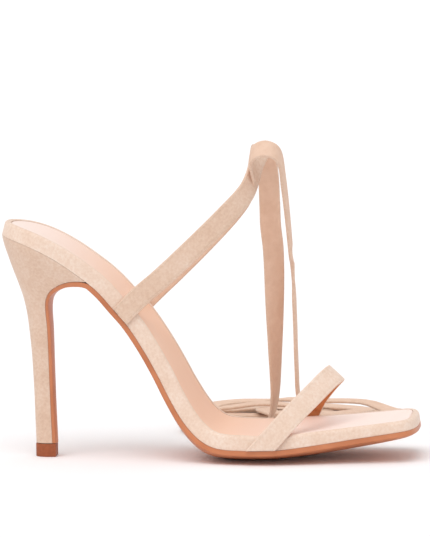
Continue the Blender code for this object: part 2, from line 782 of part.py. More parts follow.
def band_rows(middle, width_way, facing, width, thick):
    """Sections of a flat band with bevelled edges."""
    bevel = thick / 3
    half = width / 2
    flat = thick / 2
    corners = (
        (half - bevel, -flat),
        (half, -flat + bevel),
        (half, flat - bevel),
        (half - bevel, flat),
        (-half + bevel, flat),
        (-half, flat - bevel),
        (-half, -flat + bevel),
        (-half + bevel, -flat),
    )
    return [
        [centre + across * w + face * h for w, h in corners]
        for centre, across, face in zip(middle, width_way, facing)
    ]


def trim(thing, seat):
    """Cut an object off a gap above the outsole's edge at a seat."""
    along = np.interp(seat[0], SOLE.points[:, 0], SOLE.lengths)
    place = SOLE.place(np.array([along]), seat[1], GAP)[0]
    run = SOLE.direction(along)
    form = bmesh.new()
    form.from_mesh(thing.data)
    cut = bmesh.ops.bisect_plane(
        form,
        geom=list(form.verts) + list(form.edges) + list(form.faces),
        plane_co=place,
        plane_no=(-run[1], 0.0, run[0]),
        clear_inner=True,
    )
    rim = [item for item in cut["geom_cut"] if isinstance(item, bmesh.types.BMEdge)]
    bmesh.ops.holes_fill(form, edges=rim)
    bmesh.ops.recalc_face_normals(form, faces=form.faces)
    form.to_mesh(thing.data)
    form.free()


def make_band(name, rows, width, thick, material):
    """A flat strap along a table of rows."""
    middle, width_way, facing = strap_frames(rows, STRAP_STEP, thick)
    sections = band_rows(middle, width_way, facing, width, thick)
    return solid_from_rows(name, sections, material, closed_ends=True)


def make_toe_strap(material):
    """The strap over the toes, seated on the outsole's edge at both ends."""
    outer_seat = seat_place(-1, TOE_OUTER_SHARE, TOE_STRAP_THICK)
    inner_seat = seat_place(1, TOE_INNER_SHARE, TOE_STRAP_THICK)
    top = (TOE_STRAP_FORWARD, TOE_STRAP_HEIGHT)
    rows = strap_rows(TOE_STRAP, outer_seat, inner_seat, top)
    strap = make_band("toe_strap", rows, TOE_STRAP_WIDTH, TOE_STRAP_THICK, material)
    trim(strap, outer_seat)
    trim(strap, inner_seat)


def waist_straps():
    """The outer and the inner waist strap: each one's rows and its seat."""
    straps = []
    sides = ((-1, OUTER_SEAT_SHARE, OUTER_STRAP), (1, INNER_SEAT_SHARE, INNER_STRAP))
    for side, share, table in sides:
        seat = seat_place(side, share, STRAP_THICK)
        rows = strap_rows(table, seat, seat, (CROSS_FORWARD, CROSS_HEIGHT))
        straps.append((rows, seat))
    return straps


def make_ankle_straps(material):
    """The two waist straps, joined where the outer one passes over the inner one."""
    straps = []
    for name, (rows, seat) in zip(("ankle_straps", "inner_strap"), waist_straps()):
        strap = make_band(name, rows, STRAP_WIDTH, STRAP_THICK, material)
        trim(strap, seat)
        straps.append(strap)
    outer, inner = straps
    inner.hide_render = True
    inner.display_type = "WIRE"
    join = outer.modifiers.new("join", "BOOLEAN")
    join.operation = "UNION"
    join.solver = "EXACT"
    join.object = inner


def resting_heights(plan, laid):
    """Heights of a band's middle where it lies on the floor and over whatever lies there."""
    heights = np.full(len(plan), STRAP_THICK / 2 + 0.0002)
    reach = STRAP_WIDTH * 1.15
    ramp = STRAP_WIDTH * 1.5
    under = [(place, height) for place, height in laid]
    for i, place in enumerate(plan):
        own = [(plan[j], heights[j]) for j in range(i) if (i - j) * TIE_STEP > 3.4 * STRAP_WIDTH]
        for other, height in under + own:
            apart = np.linalg.norm(place - other)
            fall = np.clip((apart - reach) / ramp, 0, 1)
            lift = 1 - fall * fall * (3 - 2 * fall)
            heights[i] = max(heights[i], (height + LAYER) * lift)
    return heights


def tie_route(rows, tail, laid):
    """A tie's middle line from its strap's tail, hanging and then resting on the floor."""
    tail_end, tail_run = tail
    start = tail_end + tail_run * GAP
    ahead = start + tail_run * TIE_STEP
    points = np.array(rows, float) * MILLIMETRE
    curve = smooth_curve(np.vstack([start, ahead, points]), LINE_SAMPLES)
    length = lengths_along(curve)[-1]
    at = np.arange(0.0, min(TIE_LENGTH, length), TIE_STEP)
    middle = read_along(curve, at)
    floor_rows = [i for i, row in enumerate(rows) if row[2] == 0]
    first = np.linalg.norm(middle - points[floor_rows[0]], axis=1).argmin()
    lying = resting_heights(middle[:, :2], laid)
    middle[first:, 2] = lying[first:]
    before = np.arange(first)
    middle[before, 2] = np.maximum(middle[before, 2], lying[before])
    return middle, first


def tie_facing(middle, first, tail_face, landing):
    """The way a tie's outer face looks: as its tail at first, then turning so that it folds down
    flat onto the floor. Landing is the way along X that the tie takes there, and the face that
    ends on top is the outer one if that is the way the hanging face looks."""
    run = np.gradient(middle, axis=0)
    run /= np.linalg.norm(run, axis=1)[:, None]
    turned = np.clip(np.arange(len(middle)) / (first - 1), 0, 1)[:, None]
    hang = np.asarray(tail_face) * (1 - turned) + np.array([-1.0, 0.0, 0.0]) * turned
    down = np.clip(-run[:, 2], 0, 1)[:, None]
    facing = hang * down + np.array([0.0, 0.0, -float(landing)]) * np.sqrt(1 - down**2)
    facing -= np.sum(facing * run, axis=1)[:, None] * run
    facing /= np.linalg.norm(facing, axis=1)[:, None]
    return np.cross(run, facing), facing


def make_tie(name, rows, strap, material, laid, landing):
    """One free tie as a plain flat band; returns what it lays on the floor."""
    middle, _, facing = strap_frames(strap, STRAP_STEP, STRAP_THICK)
    run = middle[-1] - middle[-2]
    run /= np.linalg.norm(run)
    route, first = tie_route(rows, (middle[-1], run), laid)
    width_way, faces = tie_facing(route, first, facing[-1], landing)
    sections = band_rows(route, width_way, faces, STRAP_WIDTH, STRAP_THICK)
    solid_from_rows(name, sections, material, closed_ends=True)
    return [(place[:2], place[2]) for place in route[first - 2 :]]


def main():
    """Build every piece."""
    clear_scene()
    suede = new_material("suede_cover", (0.70, 0.50, 0.38), 0.95)
    lining = new_material("sock_lining", (0.84, 0.55, 0.42), 0.6)
    outsole = new_material("moulded_outsole", (0.55, 0.20, 0.08), 0.5)
    tip = new_material("tip_rubber", (0.42, 0.14, 0.06), 0.55)
    make_outsole(outsole)
    make_heel(suede)
    make_heel_tip(tip)
    make_footbed(suede)
    make_sock(lining)
    make_toe_strap(suede)
    make_ankle_straps(suede)
    (outer_rows, _), (inner_rows, _) = waist_straps()
    laid = make_tie("tie_outer", OUTER_TIE, outer_rows, suede, [], -1)
    make_tie("tie_inner", INNER_TIE, inner_rows, suede, laid, 1)


main()
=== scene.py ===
"""Looks of the lace-up heeled sandal, laid out as an add-on: sizes and colours are properties,
each group of pieces has its operator, and the stage has one too. Metres, +Z up, +X to the toe,
-Y to the outer side, origin at the centre of the heel tip's underside."""

import math

import bmesh
import bpy
import numpy as np
from mathutils import Matrix, Vector


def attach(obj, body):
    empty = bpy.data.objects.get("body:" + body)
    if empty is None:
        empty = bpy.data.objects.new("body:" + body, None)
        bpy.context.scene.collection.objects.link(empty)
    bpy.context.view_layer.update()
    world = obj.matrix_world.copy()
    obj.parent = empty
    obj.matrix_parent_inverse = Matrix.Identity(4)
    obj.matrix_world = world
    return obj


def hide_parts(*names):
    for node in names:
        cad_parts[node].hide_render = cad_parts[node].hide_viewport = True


bl_info = {
    "name": "Lace-up heeled sandal",
    "version": (1, 0, 0),
    "blender": (4, 5, 0),
    "location": "View3D > Sidebar > Sandal",
    "description": "Builds the suede stiletto sandal with its straps and ties",
    "category": "Add Mesh",
}

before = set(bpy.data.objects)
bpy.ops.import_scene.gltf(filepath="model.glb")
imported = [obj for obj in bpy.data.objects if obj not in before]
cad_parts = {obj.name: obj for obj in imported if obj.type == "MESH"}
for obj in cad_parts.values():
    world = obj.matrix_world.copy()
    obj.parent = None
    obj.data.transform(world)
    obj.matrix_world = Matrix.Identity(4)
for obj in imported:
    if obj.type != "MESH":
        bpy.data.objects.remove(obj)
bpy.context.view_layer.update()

# The sole line, the footbed's lower edge in the side view.
# Columns: share of the sole's run, share of the seat's rise, share of the toe spring.
SOLE_LINE = (
    (0.000, 1.000, 0.00),
    (0.058, 0.969, 0.00),
    (0.104, 0.932, 0.00),
    (0.152, 0.879, 0.00),
    (0.214, 0.792, 0.00),
    (0.247, 0.735, 0.00),
    (0.277, 0.669, 0.00),
    (0.313, 0.588, 0.00),
    (0.352, 0.473, 0.00),
    (0.387, 0.351, 0.00),
    (0.417, 0.236, 0.00),
    (0.451, 0.126, 0.00),
    (0.485, 0.053, 0.00),
    (0.524, 0.013, 0.00),
    (0.590, 0.000, 0.01),
    (0.668, 0.000, 0.03),
    (0.730, 0.000, 0.17),
    (0.795, 0.000, 0.36),
    (0.854, 0.000, 0.55),
    (0.916, 0.000, 0.74),
    (1.000, 0.000, 1.00),
)

# The footbed's outline before its ends are rounded.
# Columns: share of the sole line, outer and inner half width as shares of the ball's width.
OUTLINE = (
    (0.00, 0.330, 0.330),
    (0.10, 0.336, 0.336),
    (0.16, 0.336, 0.338),
    (0.23, 0.319, 0.327),
    (0.31, 0.308, 0.324),
    (0.40, 0.312, 0.336),
    (0.48, 0.333, 0.357),
    (0.55, 0.371, 0.392),
    (0.60, 0.425, 0.440),
    (0.65, 0.468, 0.484),
    (0.69, 0.487, 0.505),
    (0.73, 0.483, 0.510),
    (0.78, 0.455, 0.493),
    (0.84, 0.414, 0.452),
    (0.90, 0.380, 0.408),
    (0.96, 0.352, 0.375),
    (1.00, 0.338, 0.357),
)

# How the layers change along the sole.
# Columns: share of the sole line, share of the footbed's thickness, of the ball's crown,
# of the outsole's own crown, of the heel's dish and of the arch's lean.
LAYERS = (
    (0.00, 0.95, 0.00, 0.00, 1.00, 0.00),
    (0.12, 1.00, 0.00, 0.05, 1.00, 0.05),
    (0.20, 1.00, 0.08, 0.22, 0.85, 0.20),
    (0.30, 1.00, 0.26, 0.45, 0.60, 0.75),
    (0.40, 1.00, 0.38, 0.56, 0.50, 1.00),
    (0.50, 1.00, 0.54, 0.72, 0.50, 1.00),
    (0.56, 1.00, 0.80, 1.00, 0.50, 0.70),
    (0.60, 1.00, 1.00, 1.18, 0.50, 0.40),
    (0.65, 0.99, 1.00, 1.06, 0.50, 0.12),
    (0.69, 0.98, 1.00, 1.00, 0.50, 0.00),
    (0.78, 0.90, 0.95, 0.95, 0.45, 0.00),
    (0.90, 0.76, 0.85, 0.80, 0.35, 0.00),
    (1.00, 0.68, 0.60, 0.45, 0.30, 0.00),
)

# The back of the breast flap, from the heel tip up to where it joins the sole line.
# Columns: share of the reach forward, share of the rise.
FLAP_LINE = (
    (0.000, 0.000),
    (-0.031, 0.269),
    (-0.049, 0.484),
    (-0.066, 0.704),
    (-0.086, 0.793),
    (-0.090, 0.845),
    (-0.066, 0.892),
    (0.006, 0.934),
    (0.155, 0.973),
    (0.400, 1.006),
    (0.630, 1.019),
    (0.832, 1.018),
)

# The heel's sections, from the tip to the seat. Columns: the back's place forward of the
# tip's centre as a share of the overhang, its height as a share of the seat's height, the
# front's place as a share of the breast line, the half width as a share of the seat's.
HEEL = (
    (-0.239, 0.062, 0.000, 0.194),
    (-0.258, 0.180, 0.140, 0.196),
    (-0.279, 0.315, 0.295, 0.206),
    (-0.320, 0.465, 0.465, 0.232),
    (-0.374, 0.572, 0.585, 0.270),
    (-0.422, 0.645, 0.662, 0.315),
    (-0.505, 0.716, 0.722, 0.392),
    (-0.620, 0.780, 0.772, 0.500),
    (-0.742, 0.842, 0.820, 0.640),
    (-0.850, 0.902, 0.890, 0.800),
    (-0.930, 0.948, 0.950, 0.925),
    (-0.972, 0.981, 0.992, 0.985),
)

# The toe strap's middle line. Columns: share of the way forward from the seat of the row's own
# side to the strap's top, across as a share of that seat's distance from the middle, share of
# the rise from the seat to the top, then the direction that its outer face looks in.
TOE_STRAP = (
    (-0.300, -1.00, -0.335, 0.00, -1.00, 0.00),
    (0.000, -1.00, 0.000, 0.00, -1.00, 0.00),
    (0.182, -1.01, 0.199, 0.03, -1.00, 0.03),
    (0.312, -0.97, 0.346, 0.20, -0.94, 0.22),
    (0.470, -0.81, 0.516, 0.42, -0.80, 0.42),
    (0.688, -0.53, 0.727, 0.50, -0.70, 0.50),
    (0.906, -0.18, 0.935, 0.60, -0.45, 0.62),
    (1.000, 0.07, 1.000, 0.68, -0.02, 0.72),
    (0.968, 0.26, 0.961, 0.60, 0.42, 0.66),
    (0.760, 0.48, 0.816, 0.38, 0.76, 0.52),
    (0.427, 0.75, 0.556, 0.20, 0.90, 0.36),
    (0.240, 0.935, 0.352, 0.08, 0.98, 0.18),
    (0.115, 1.00, 0.189, 0.02, 1.00, 0.04),
    (0.000, 1.00, 0.032, 0.00, 1.00, 0.00),
    (-0.135, 1.00, -0.191, 0.00, 1.00, 0.00),
)

# The outer waist strap, with columns as for the toe strap; its top is the straps' crossing.
OUTER_STRAP = (
    (-0.138, -1.00, -0.078, -0.05, -1.00, 0.00),
    (0.000, -1.00, 0.045, 0.00, -1.00, 0.00),
    (0.120, -1.00, 0.154, 0.04, -1.00, 0.03),
    (0.296, -1.00, 0.288, 0.08, -1.00, 0.05),
    (0.546, -0.94, 0.497, 0.20, -0.98, 0.08),
    (0.787, -0.72, 0.711, 0.48, -0.86, 0.12),
    (0.948, -0.33, 0.874, 0.78, -0.56, 0.22),
    (1.000, 0.03, 1.000, 0.88, -0.20, 0.42),
    (1.019, 0.38, 1.108, 0.74, 0.00, 0.67),
    (1.040, 0.78, 1.148, 0.44, 0.24, 0.86),
    (1.058, 1.15, 1.090, 0.22, 0.70, 0.68),
    (1.068, 1.38, 0.940, 0.10, 0.96, 0.26),
    (1.072, 1.50, 0.730, 0.00, 1.00, 0.10),
)

# The inner waist strap, which folds forward over itself past the crossing.
INNER_STRAP = (
    (-0.141, 1.00, -0.061, -0.05, 1.00, 0.00),
    (0.000, 1.00, 0.054, 0.00, 1.00, 0.00),
    (0.125, 1.00, 0.158, 0.04, 1.00, 0.03),
    (0.298, 0.98, 0.295, 0.10, 1.00, 0.05),
    (0.548, 0.89, 0.501, 0.24, 0.97, 0.08),
    (0.785, 0.66, 0.709, 0.52, 0.84, 0.12),
    (0.930, 0.30, 0.866, 0.80, 0.52, 0.22),
    (0.979, -0.03, 0.992, 0.94, 0.16, 0.28),
    (0.994, -0.36, 1.112, 1.00, 0.00, 0.00),
    (1.030, -0.50, 1.166, 0.71, 0.47, -0.53),
    (1.110, -0.56, 1.190, 0.00, 0.66, -0.75),
    (1.192, -0.50, 1.166, -0.71, 0.47, -0.53),
    (1.230, -0.34, 1.108, -1.00, 0.06, -0.05),
    (1.238, 0.06, 0.962, -1.00, 0.06, 0.00),
    (1.242, 0.48, 0.806, -1.00, 0.05, 0.00),
    (1.246, 0.86, 0.634, -1.00, 0.03, 0.00),
    (1.252, 1.18, 0.440, -1.00, 0.00, 0.00),
)

# The ties' routes in millimetres: hanging first, then lying on whatever is below.
OUTER_TIE = (
    (111.4, 38.6, 98.0),
    (111.4, 42.0, 70.0),
    (111.0, 46.2, 44.0),
    (110.0, 51.0, 22.0),
    (105.6, 55.0, 8.0),
    (93.0, 58.0, 0.0),
    (78.0, 68.0, 0.0),
    (69.0, 86.0, 0.0),
    (77.0, 99.0, 0.0),
    (95.0, 98.0, 0.0),
    (115.0, 94.0, 0.0),
    (135.0, 97.0, 0.0),
    (151.0, 91.0, 0.0),
    (159.0, 74.0, 0.0),
    (150.0, 62.0, 0.0),
    (134.0, 63.0, 0.0),
    (120.0, 75.0, 0.0),
    (114.0, 95.0, 0.0),
    (102.0, 111.0, 0.0),
    (86.0, 116.0, 0.0),
    (72.0, 109.0, 0.0),
    (65.0, 125.0, 0.0),
    (80.0, 136.0, 0.0),
    (99.0, 132.0, 0.0),
    (120.0, 128.0, 0.0),
    (140.0, 130.0, 0.0),
    (156.0, 122.0, 0.0),
    (160.0, 103.0, 0.0),
    (146.0, 95.0, 0.0),
    (129.0, 103.0, 0.0),
    (121.0, 122.0, 0.0),
    (126.0, 138.0, 0.0),
    (142.0, 146.0, 0.0),
    (160.0, 147.0, 0.0),
    (167.0, 159.0, 0.0),
    (154.0, 169.0, 0.0),
    (135.0, 167.0, 0.0),
    (115.0, 169.0, 0.0),
    (96.0, 166.0, 0.0),
    (78.0, 168.0, 0.0),
    (66.0, 157.0, 0.0),
    (71.0, 143.0, 0.0),
    (88.0, 146.0, 0.0),
    (106.0, 151.0, 0.0),
    (124.0, 147.0, 0.0),
    (138.0, 136.0, 0.0),
)
INNER_TIE = (
    (121.4, 37.0, 84.0),
    (121.8, 40.4, 62.0),
    (122.0, 43.4, 40.0),
    (123.0, 46.0, 21.0),
    (127.4, 48.6, 8.0),
    (134.0, 51.0, 0.0),
    (147.0, 50.0, 0.0),
    (159.0, 58.0, 0.0),
    (167.0, 77.0, 0.0),
    (154.0, 87.0, 0.0),
    (137.0, 84.0, 0.0),
    (117.0, 81.0, 0.0),
    (99.0, 84.0, 0.0),
    (84.0, 78.0, 0.0),
    (67.0, 81.0, 0.0),
    (63.0, 100.0, 0.0),
    (74.0, 114.0, 0.0),
    (94.0, 114.0, 0.0),
    (115.0, 114.0, 0.0),
    (135.0, 115.0, 0.0),
    (146.0, 130.0, 0.0),
    (135.0, 144.0, 0.0),
    (117.0, 144.0, 0.0),
    (104.0, 136.0, 0.0),
    (99.0, 118.0, 0.0),
    (105.0, 101.0, 0.0),
    (122.0, 96.0, 0.0),
    (140.0, 101.0, 0.0),
    (156.0, 108.0, 0.0),
    (168.0, 120.0, 0.0),
    (165.0, 138.0, 0.0),
    (150.0, 150.0, 0.0),
    (131.0, 153.0, 0.0),
    (112.0, 150.0, 0.0),
    (95.0, 156.0, 0.0),
    (78.0, 153.0, 0.0),
    (67.0, 139.0, 0.0),
    (72.0, 123.0, 0.0),
    (89.0, 122.0, 0.0),
    (108.0, 124.0, 0.0),
    (127.0, 127.0, 0.0),
    (142.0, 120.0, 0.0),
    (151.0, 103.0, 0.0),
    (141.0, 89.0, 0.0),
    (123.0, 87.0, 0.0),
    (106.0, 90.0, 0.0),
    (90.0, 97.0, 0.0),
)

LINE_SAMPLES = 1600
MILLIMETRE = 0.001
SHADER_SOCKETS = {
    "roughness": "Roughness",
    "sheen": "Sheen Weight",
    "specular": "Specular IOR Level",
}

# How far the rings' spine is pulled in, as shares of the heel's and the toe's round.
SPINE_HEEL = 0.65
SPINE_TOE = 0.7
# The heel: where its seat starts, how its points crowd to the back, the share of a section that
# is round, and the heights, as shares of the seat's, between which it turns into the seat.
SEAT_START = 0.0004
BACK_CROWDING = 1.6
STEM_ROUND = 0.62
FLARE_FROM = 0.62
FLARE_TO = 0.981
FLARE_POWER = 1.5
# The breast flap: how its points crowd to the breast, where it thickens to the outsole's edge,
# over what share of its length, and how late it takes on the arch's lean.
FLAP_CROWDING = 0.62
FLAP_THICKENS = 0.72
FLAP_THICKENS_OVER = 0.2
FLAP_LEAN_POWER = 8
# The ties: sections to each resting point, how near a tie lies to count as below, how far its
# lift fades, both in widths, and the sections that keep the strap's facing.
TIE_FINE = 5
TIE_NEAR = 1.15
TIE_FADE = 1.5
TIE_OWN = 3.4
TIE_HELD = 12
STRAP_STEP = 0.0037
TOE_BAND_STEP = 0.0012
WAIST_BAND_STEP = 0.0014
# The stitches: their distance from the strap's middle, the thread's half width, the length of
# one stitch with its gap, the sine's value above which there is thread, and the relief's depth.
STITCH_FROM_MIDDLE = 0.0040
STITCH_HALF_WIDTH = 0.00035
STITCH_PITCH = 0.0022
STITCH_CUT = -0.4
STITCH_DEPTH = 0.00022
# The photograph's view: angles, the picture's middle along and up from the heel tip, the height
# of what it shows, and the distance of the long lens.
CAMERA_YAW = math.radians(6.0)
CAMERA_RISE = math.radians(6.3)
CAMERA_ROLL = 0.0115
CAMERA_MIDDLE = (0.08425, 0.0936)
CAMERA_SHOWS = 0.2685
CAMERA_DISTANCE = 3.2


def length(name, description, default):
    """A length in metres as a property."""
    return bpy.props.FloatProperty(
        name=name, description=description, default=default, unit="LENGTH", precision=4
    )


def share(name, description, default):
    """A plain number as a property."""
    return bpy.props.FloatProperty(name=name, description=description, default=default)


def count(name, description, default):
    """A whole number as a property."""
    return bpy.props.IntProperty(name=name, description=description, default=default, min=2)


def colour(name, description, default):
    """A colour written as sRGB hex."""
    return bpy.props.StringProperty(name=name, description=description, default=default)


class SandalSizes(bpy.types.PropertyGroup):
    """The shoe's own sizes, the same as the CAD part's."""

    sole_run: length("Sole run", "Length of the sole seen from above", 0.2074)
    heel_overhang: length("Heel overhang", "How far the heel's back stands behind the tip", 0.0205)
    seat_height: length("Seat height", "Height of the sole line at the back", 0.1120)
    ball_edge: length("Ball edge", "Height of the sole line at the ball", 0.0074)
    toe_spring: length("Toe spring", "Rise of the sole line to the toe", 0.0094)
    ball_width: length("Ball width", "Width of the footbed at the ball", 0.0715)
    heel_round: length("Heel round", "Length of the rounded heel end", 0.0240)
    toe_round: length("Toe round", "Length of the rounded toe corners", 0.0120)
    toe_squareness: share("Toe squareness", "Power of the toe's outline", 3.2)
    gap: length("Gap", "Distance between neighbours", 0.0003)
    seam: length("Seam", "What is left open of a glued seam", 0.00006)
    footbed_thick: length("Footbed", "Thickness of the covered footbed", 0.0076)
    rim_radius: length("Rim radius", "Radius of the footbed's upper edge", 0.0019)
    rim_width: length("Rim width", "Width of the suede rim round the sock", 0.0034)
    sock_thick: length("Sock", "Thickness of the sock lining", 0.0009)
    heel_dish: length("Heel dish", "Depth of the bed at the heel", 0.0012)
    ball_crown: length("Ball crown", "Depth of the footbed's crown under the ball", 0.0022)
    outsole_edge: length("Outsole edge", "Thickness of the outsole at its edge", 0.0022)
    outsole_crown: length("Outsole crown", "Extra depth of the outsole's middle", 0.0030)
    outsole_welt: length("Welt", "How far the outsole stands out", 0.0004)
    arch_lean: share("Arch lean", "Rise of the arch's inner side per width", 0.045)
    flap_thick: length("Flap", "Thickness of the breast flap", 0.0012)
    tip_height: length("Tip height", "Height of the top piece", 0.0066)
    tip_lip: length("Tip lip", "How far the top piece stands out", 0.0002)
    breast_foot: length("Breast foot", "Place of the flap's back at the tip", 0.0036)
    breast_top: length("Breast top", "Where the flap joins the sole line", 0.0262)
    stem_half: length("Stem", "Half width of the heel's stem", 0.0046)
    seat_corner: length("Seat corner", "Length of the heel's seat", 0.0500)
    heel_top_share: share("Heel top", "Share of the breast line that the heel takes", 0.955)
    strap_width: length("Strap width", "Width of the waist straps and ties", 0.0106)
    strap_thick: length("Strap", "Thickness of the waist straps and ties", 0.0016)
    toe_strap_width: length("Toe strap width", "Width of the toe strap", 0.0108)
    toe_strap_thick: length("Toe strap", "Thickness of the toe strap", 0.0014)
    cross_forward: length("Crossing forward", "Place of the straps' crossing", 0.1056)
    cross_height: length("Crossing height", "Height of the straps' crossing", 0.1414)
    toe_top_forward: length("Toe strap forward", "Place of the toe strap's top", 0.1452)
    toe_top_height: length("Toe strap height", "Height of the toe strap's top", 0.0415)
    outer_seat: share("Outer seat", "Share of the sole line at the outer strap", 0.300)
    inner_seat: share("Inner seat", "Share of the sole line at the inner strap", 0.314)
    toe_outer_seat: share("Toe strap outer seat", "Share of the sole line", 0.698)
    toe_inner_seat: share("Toe strap inner seat", "Share of the sole line", 0.756)
    tie_length: length("Tie length", "Length of each tie past its strap", 0.84)
    tie_step: length("Tie step", "Spacing of the ties' resting points", 0.011)
    layer: length("Tie layer", "Height that one tie adds over another", 0.0022)
    cap_steps: count("Cap steps", "Stations in each rounded end", 24)
    waist_steps: count("Waist steps", "Stations between the ends", 150)
    flap_steps: count("Flap steps", "Stations down the breast flap", 70)
    heel_sections: count("Heel sections", "Sections of the heel", 110)
    heel_sides: count("Heel sides", "Steps round half a heel section", 26)


class SandalColours(bpy.types.PropertyGroup):
    """Colours read from the photograph."""

    suede: colour("Suede", "Middle tone of the suede cover", "#DEC0AA")
    suede_dark: colour("Suede, dark", "Tone of the brushed nap", "#D6B59E")
    suede_light: colour("Suede, light", "Tone of the raised nap", "#E6CDBB")
    # The footbed's three tones are a lighter copy of the same suede: painted highlight for the
    # light that the rim catches. The toe strap takes them too.
    bed: colour("Footbed", "Middle tone of the footbed's suede", "#EAD0BD")
    bed_dark_painted_highlight: colour("Footbed, dark", "Its brushed nap", "#E3C6B1")
    bed_light_painted_highlight: colour("Footbed, light", "Its raised nap", "#F1DDCE")
    # The pale sock tone is painted highlight on the toe and the heel seat; the deep tone is the
    # lining's own peach.
    sock: colour("Sock", "Smooth lining leather", "#FBE6DC")
    sock_deep: colour("Sock, deep", "Lining leather's darker tone", "#F2C3A4")
    outsole: colour("Outsole", "Moulded outsole", "#CE8259")
    outsole_deep: colour("Outsole, deep", "Outsole's darker tone", "#BC7149")
    tip: colour("Top piece", "Top piece's rubber", "#A65A38")
    reverse: colour("Waist straps' reverse", "Soft lining of the waist straps and ties", "#E8C8B2")
    lining: colour("Strap lining", "Lining under the toe strap", "#CE8455")
    floor: colour("Floor", "Floor and backdrop", "#FDFCFD")


def smooth_curve(points, samples):
    """A cubic curve through the points, with its tangent at each from that point's neighbours."""
    points = np.asarray(points, float)
    chords = np.linalg.norm(np.diff(points, axis=0), axis=1)
    knots = np.r_[0.0, np.cumsum(chords)]
    slopes = np.empty_like(points)
    slopes[1:-1] = (points[2:] - points[:-2]) / (knots[2:] - knots[:-2])[:, None]
    slopes[0] = (points[1] - points[0]) / chords[0]
    slopes[-1] = (points[-1] - points[-2]) / chords[-1]
    at = np.linspace(0.0, knots[-1], samples)
    piece = np.clip(np.searchsorted(knots, at, side="right") - 1, 0, len(points) - 2)
    width = chords[piece]
    x = (at - knots[piece]) / width
    start = (2 * x**3 - 3 * x**2 + 1)[:, None] * points[piece]
    leave = ((x**3 - 2 * x**2 + x) * width)[:, None] * slopes[piece]
    end = (-2 * x**3 + 3 * x**2)[:, None] * points[piece + 1]
    arrive = ((x**3 - x**2) * width)[:, None] * slopes[piece + 1]
    return start + leave + end + arrive


def lengths_along(points):
    """The length from the first point to each point."""
    return np.r_[0.0, np.cumsum(np.linalg.norm(np.diff(points, axis=0), axis=1))]


def read_along(points, at):
    """Places at the given lengths along a line of points."""
    lengths = lengths_along(points)
    return np.stack([np.interp(at, lengths, column) for column in points.T], axis=-1)


def unit(vectors):
    """Each row at length one."""
    return vectors / np.linalg.norm(vectors, axis=-1, keepdims=True)


def table_value(table, column, at):
    """A column of a table read smoothly at a share of the sole line."""
    rows = np.array(table)
    curve = smooth_curve(rows[:, [0, column]], LINE_SAMPLES)
    return np.interp(at, curve[:, 0], curve[:, 1])


class SideLine:
    """A line in the side view that carries a sheet: a place on the sheet is given by the length
    along the line, the distance across (+Y) and the height above it. The sheet may lean."""

    def __init__(self, points, lean=0.0):
        self.points = np.asarray(points, float)
        self.lean = np.broadcast_to(lean, len(self.points))
        self.lengths = lengths_along(self.points)
        self.length = self.lengths[-1]
        self.run = unit(np.gradient(self.points, axis=0))

    def place(self, along, across, height):
        """World places; heights stand at right angles to the line."""
        x = np.interp(along, self.lengths, self.points[:, 0])
        z = np.interp(along, self.lengths, self.points[:, 1])
        run_x = np.interp(along, self.lengths, self.run[:, 0])
        run_z = np.interp(along, self.lengths, self.run[:, 1])
        size = np.hypot(run_x, run_z)
        height = height + across * np.interp(along, self.lengths, self.lean)
        return np.stack(
            [x - height * run_z / size, across + 0 * along, z + height * run_x / size], axis=-1
        )


class Rings:
    """Rings of a sheet's outline: each shrinks towards a spine, by a share or by a distance."""

    def __init__(self, along, outer, inner, core):
        self.edge = np.concatenate(
            [np.stack([along, -outer], axis=-1), np.stack([along, inner], axis=-1)[::-1]]
        )
        centre = np.stack([core, 0 * core], axis=-1)
        self.core = np.concatenate([centre, centre[::-1]])
        self.reach = np.linalg.norm(self.edge - self.core, axis=1)
        before, after = np.roll(self.edge, 1, axis=0), np.roll(self.edge, -1, axis=0)
        run = after - before
        inward = np.stack([-run[:, 1], run[:, 0]], axis=-1)
        size = np.linalg.norm(inward, axis=1) * self.reach
        toward = np.abs(np.sum(inward * (self.core - self.edge), axis=1)) / np.maximum(size, 1e-9)
        self.square_on = np.clip(toward, 0.35, 1.0)

    def inset(self, distance):
        """The share left of each point's reach when the outline shrinks by a distance, measured
        square to the outline: one less distance over reach times cosine."""
        return 1 - distance / np.maximum(self.reach * self.square_on, 1e-6)

    def ring(self, part):
        """The ring at a share of the reach: length along and distance across."""
        part = np.broadcast_to(part, self.reach.shape)[:, None]
        places = self.core + (self.edge - self.core) * part
        return places[:, 0], places[:, 1]


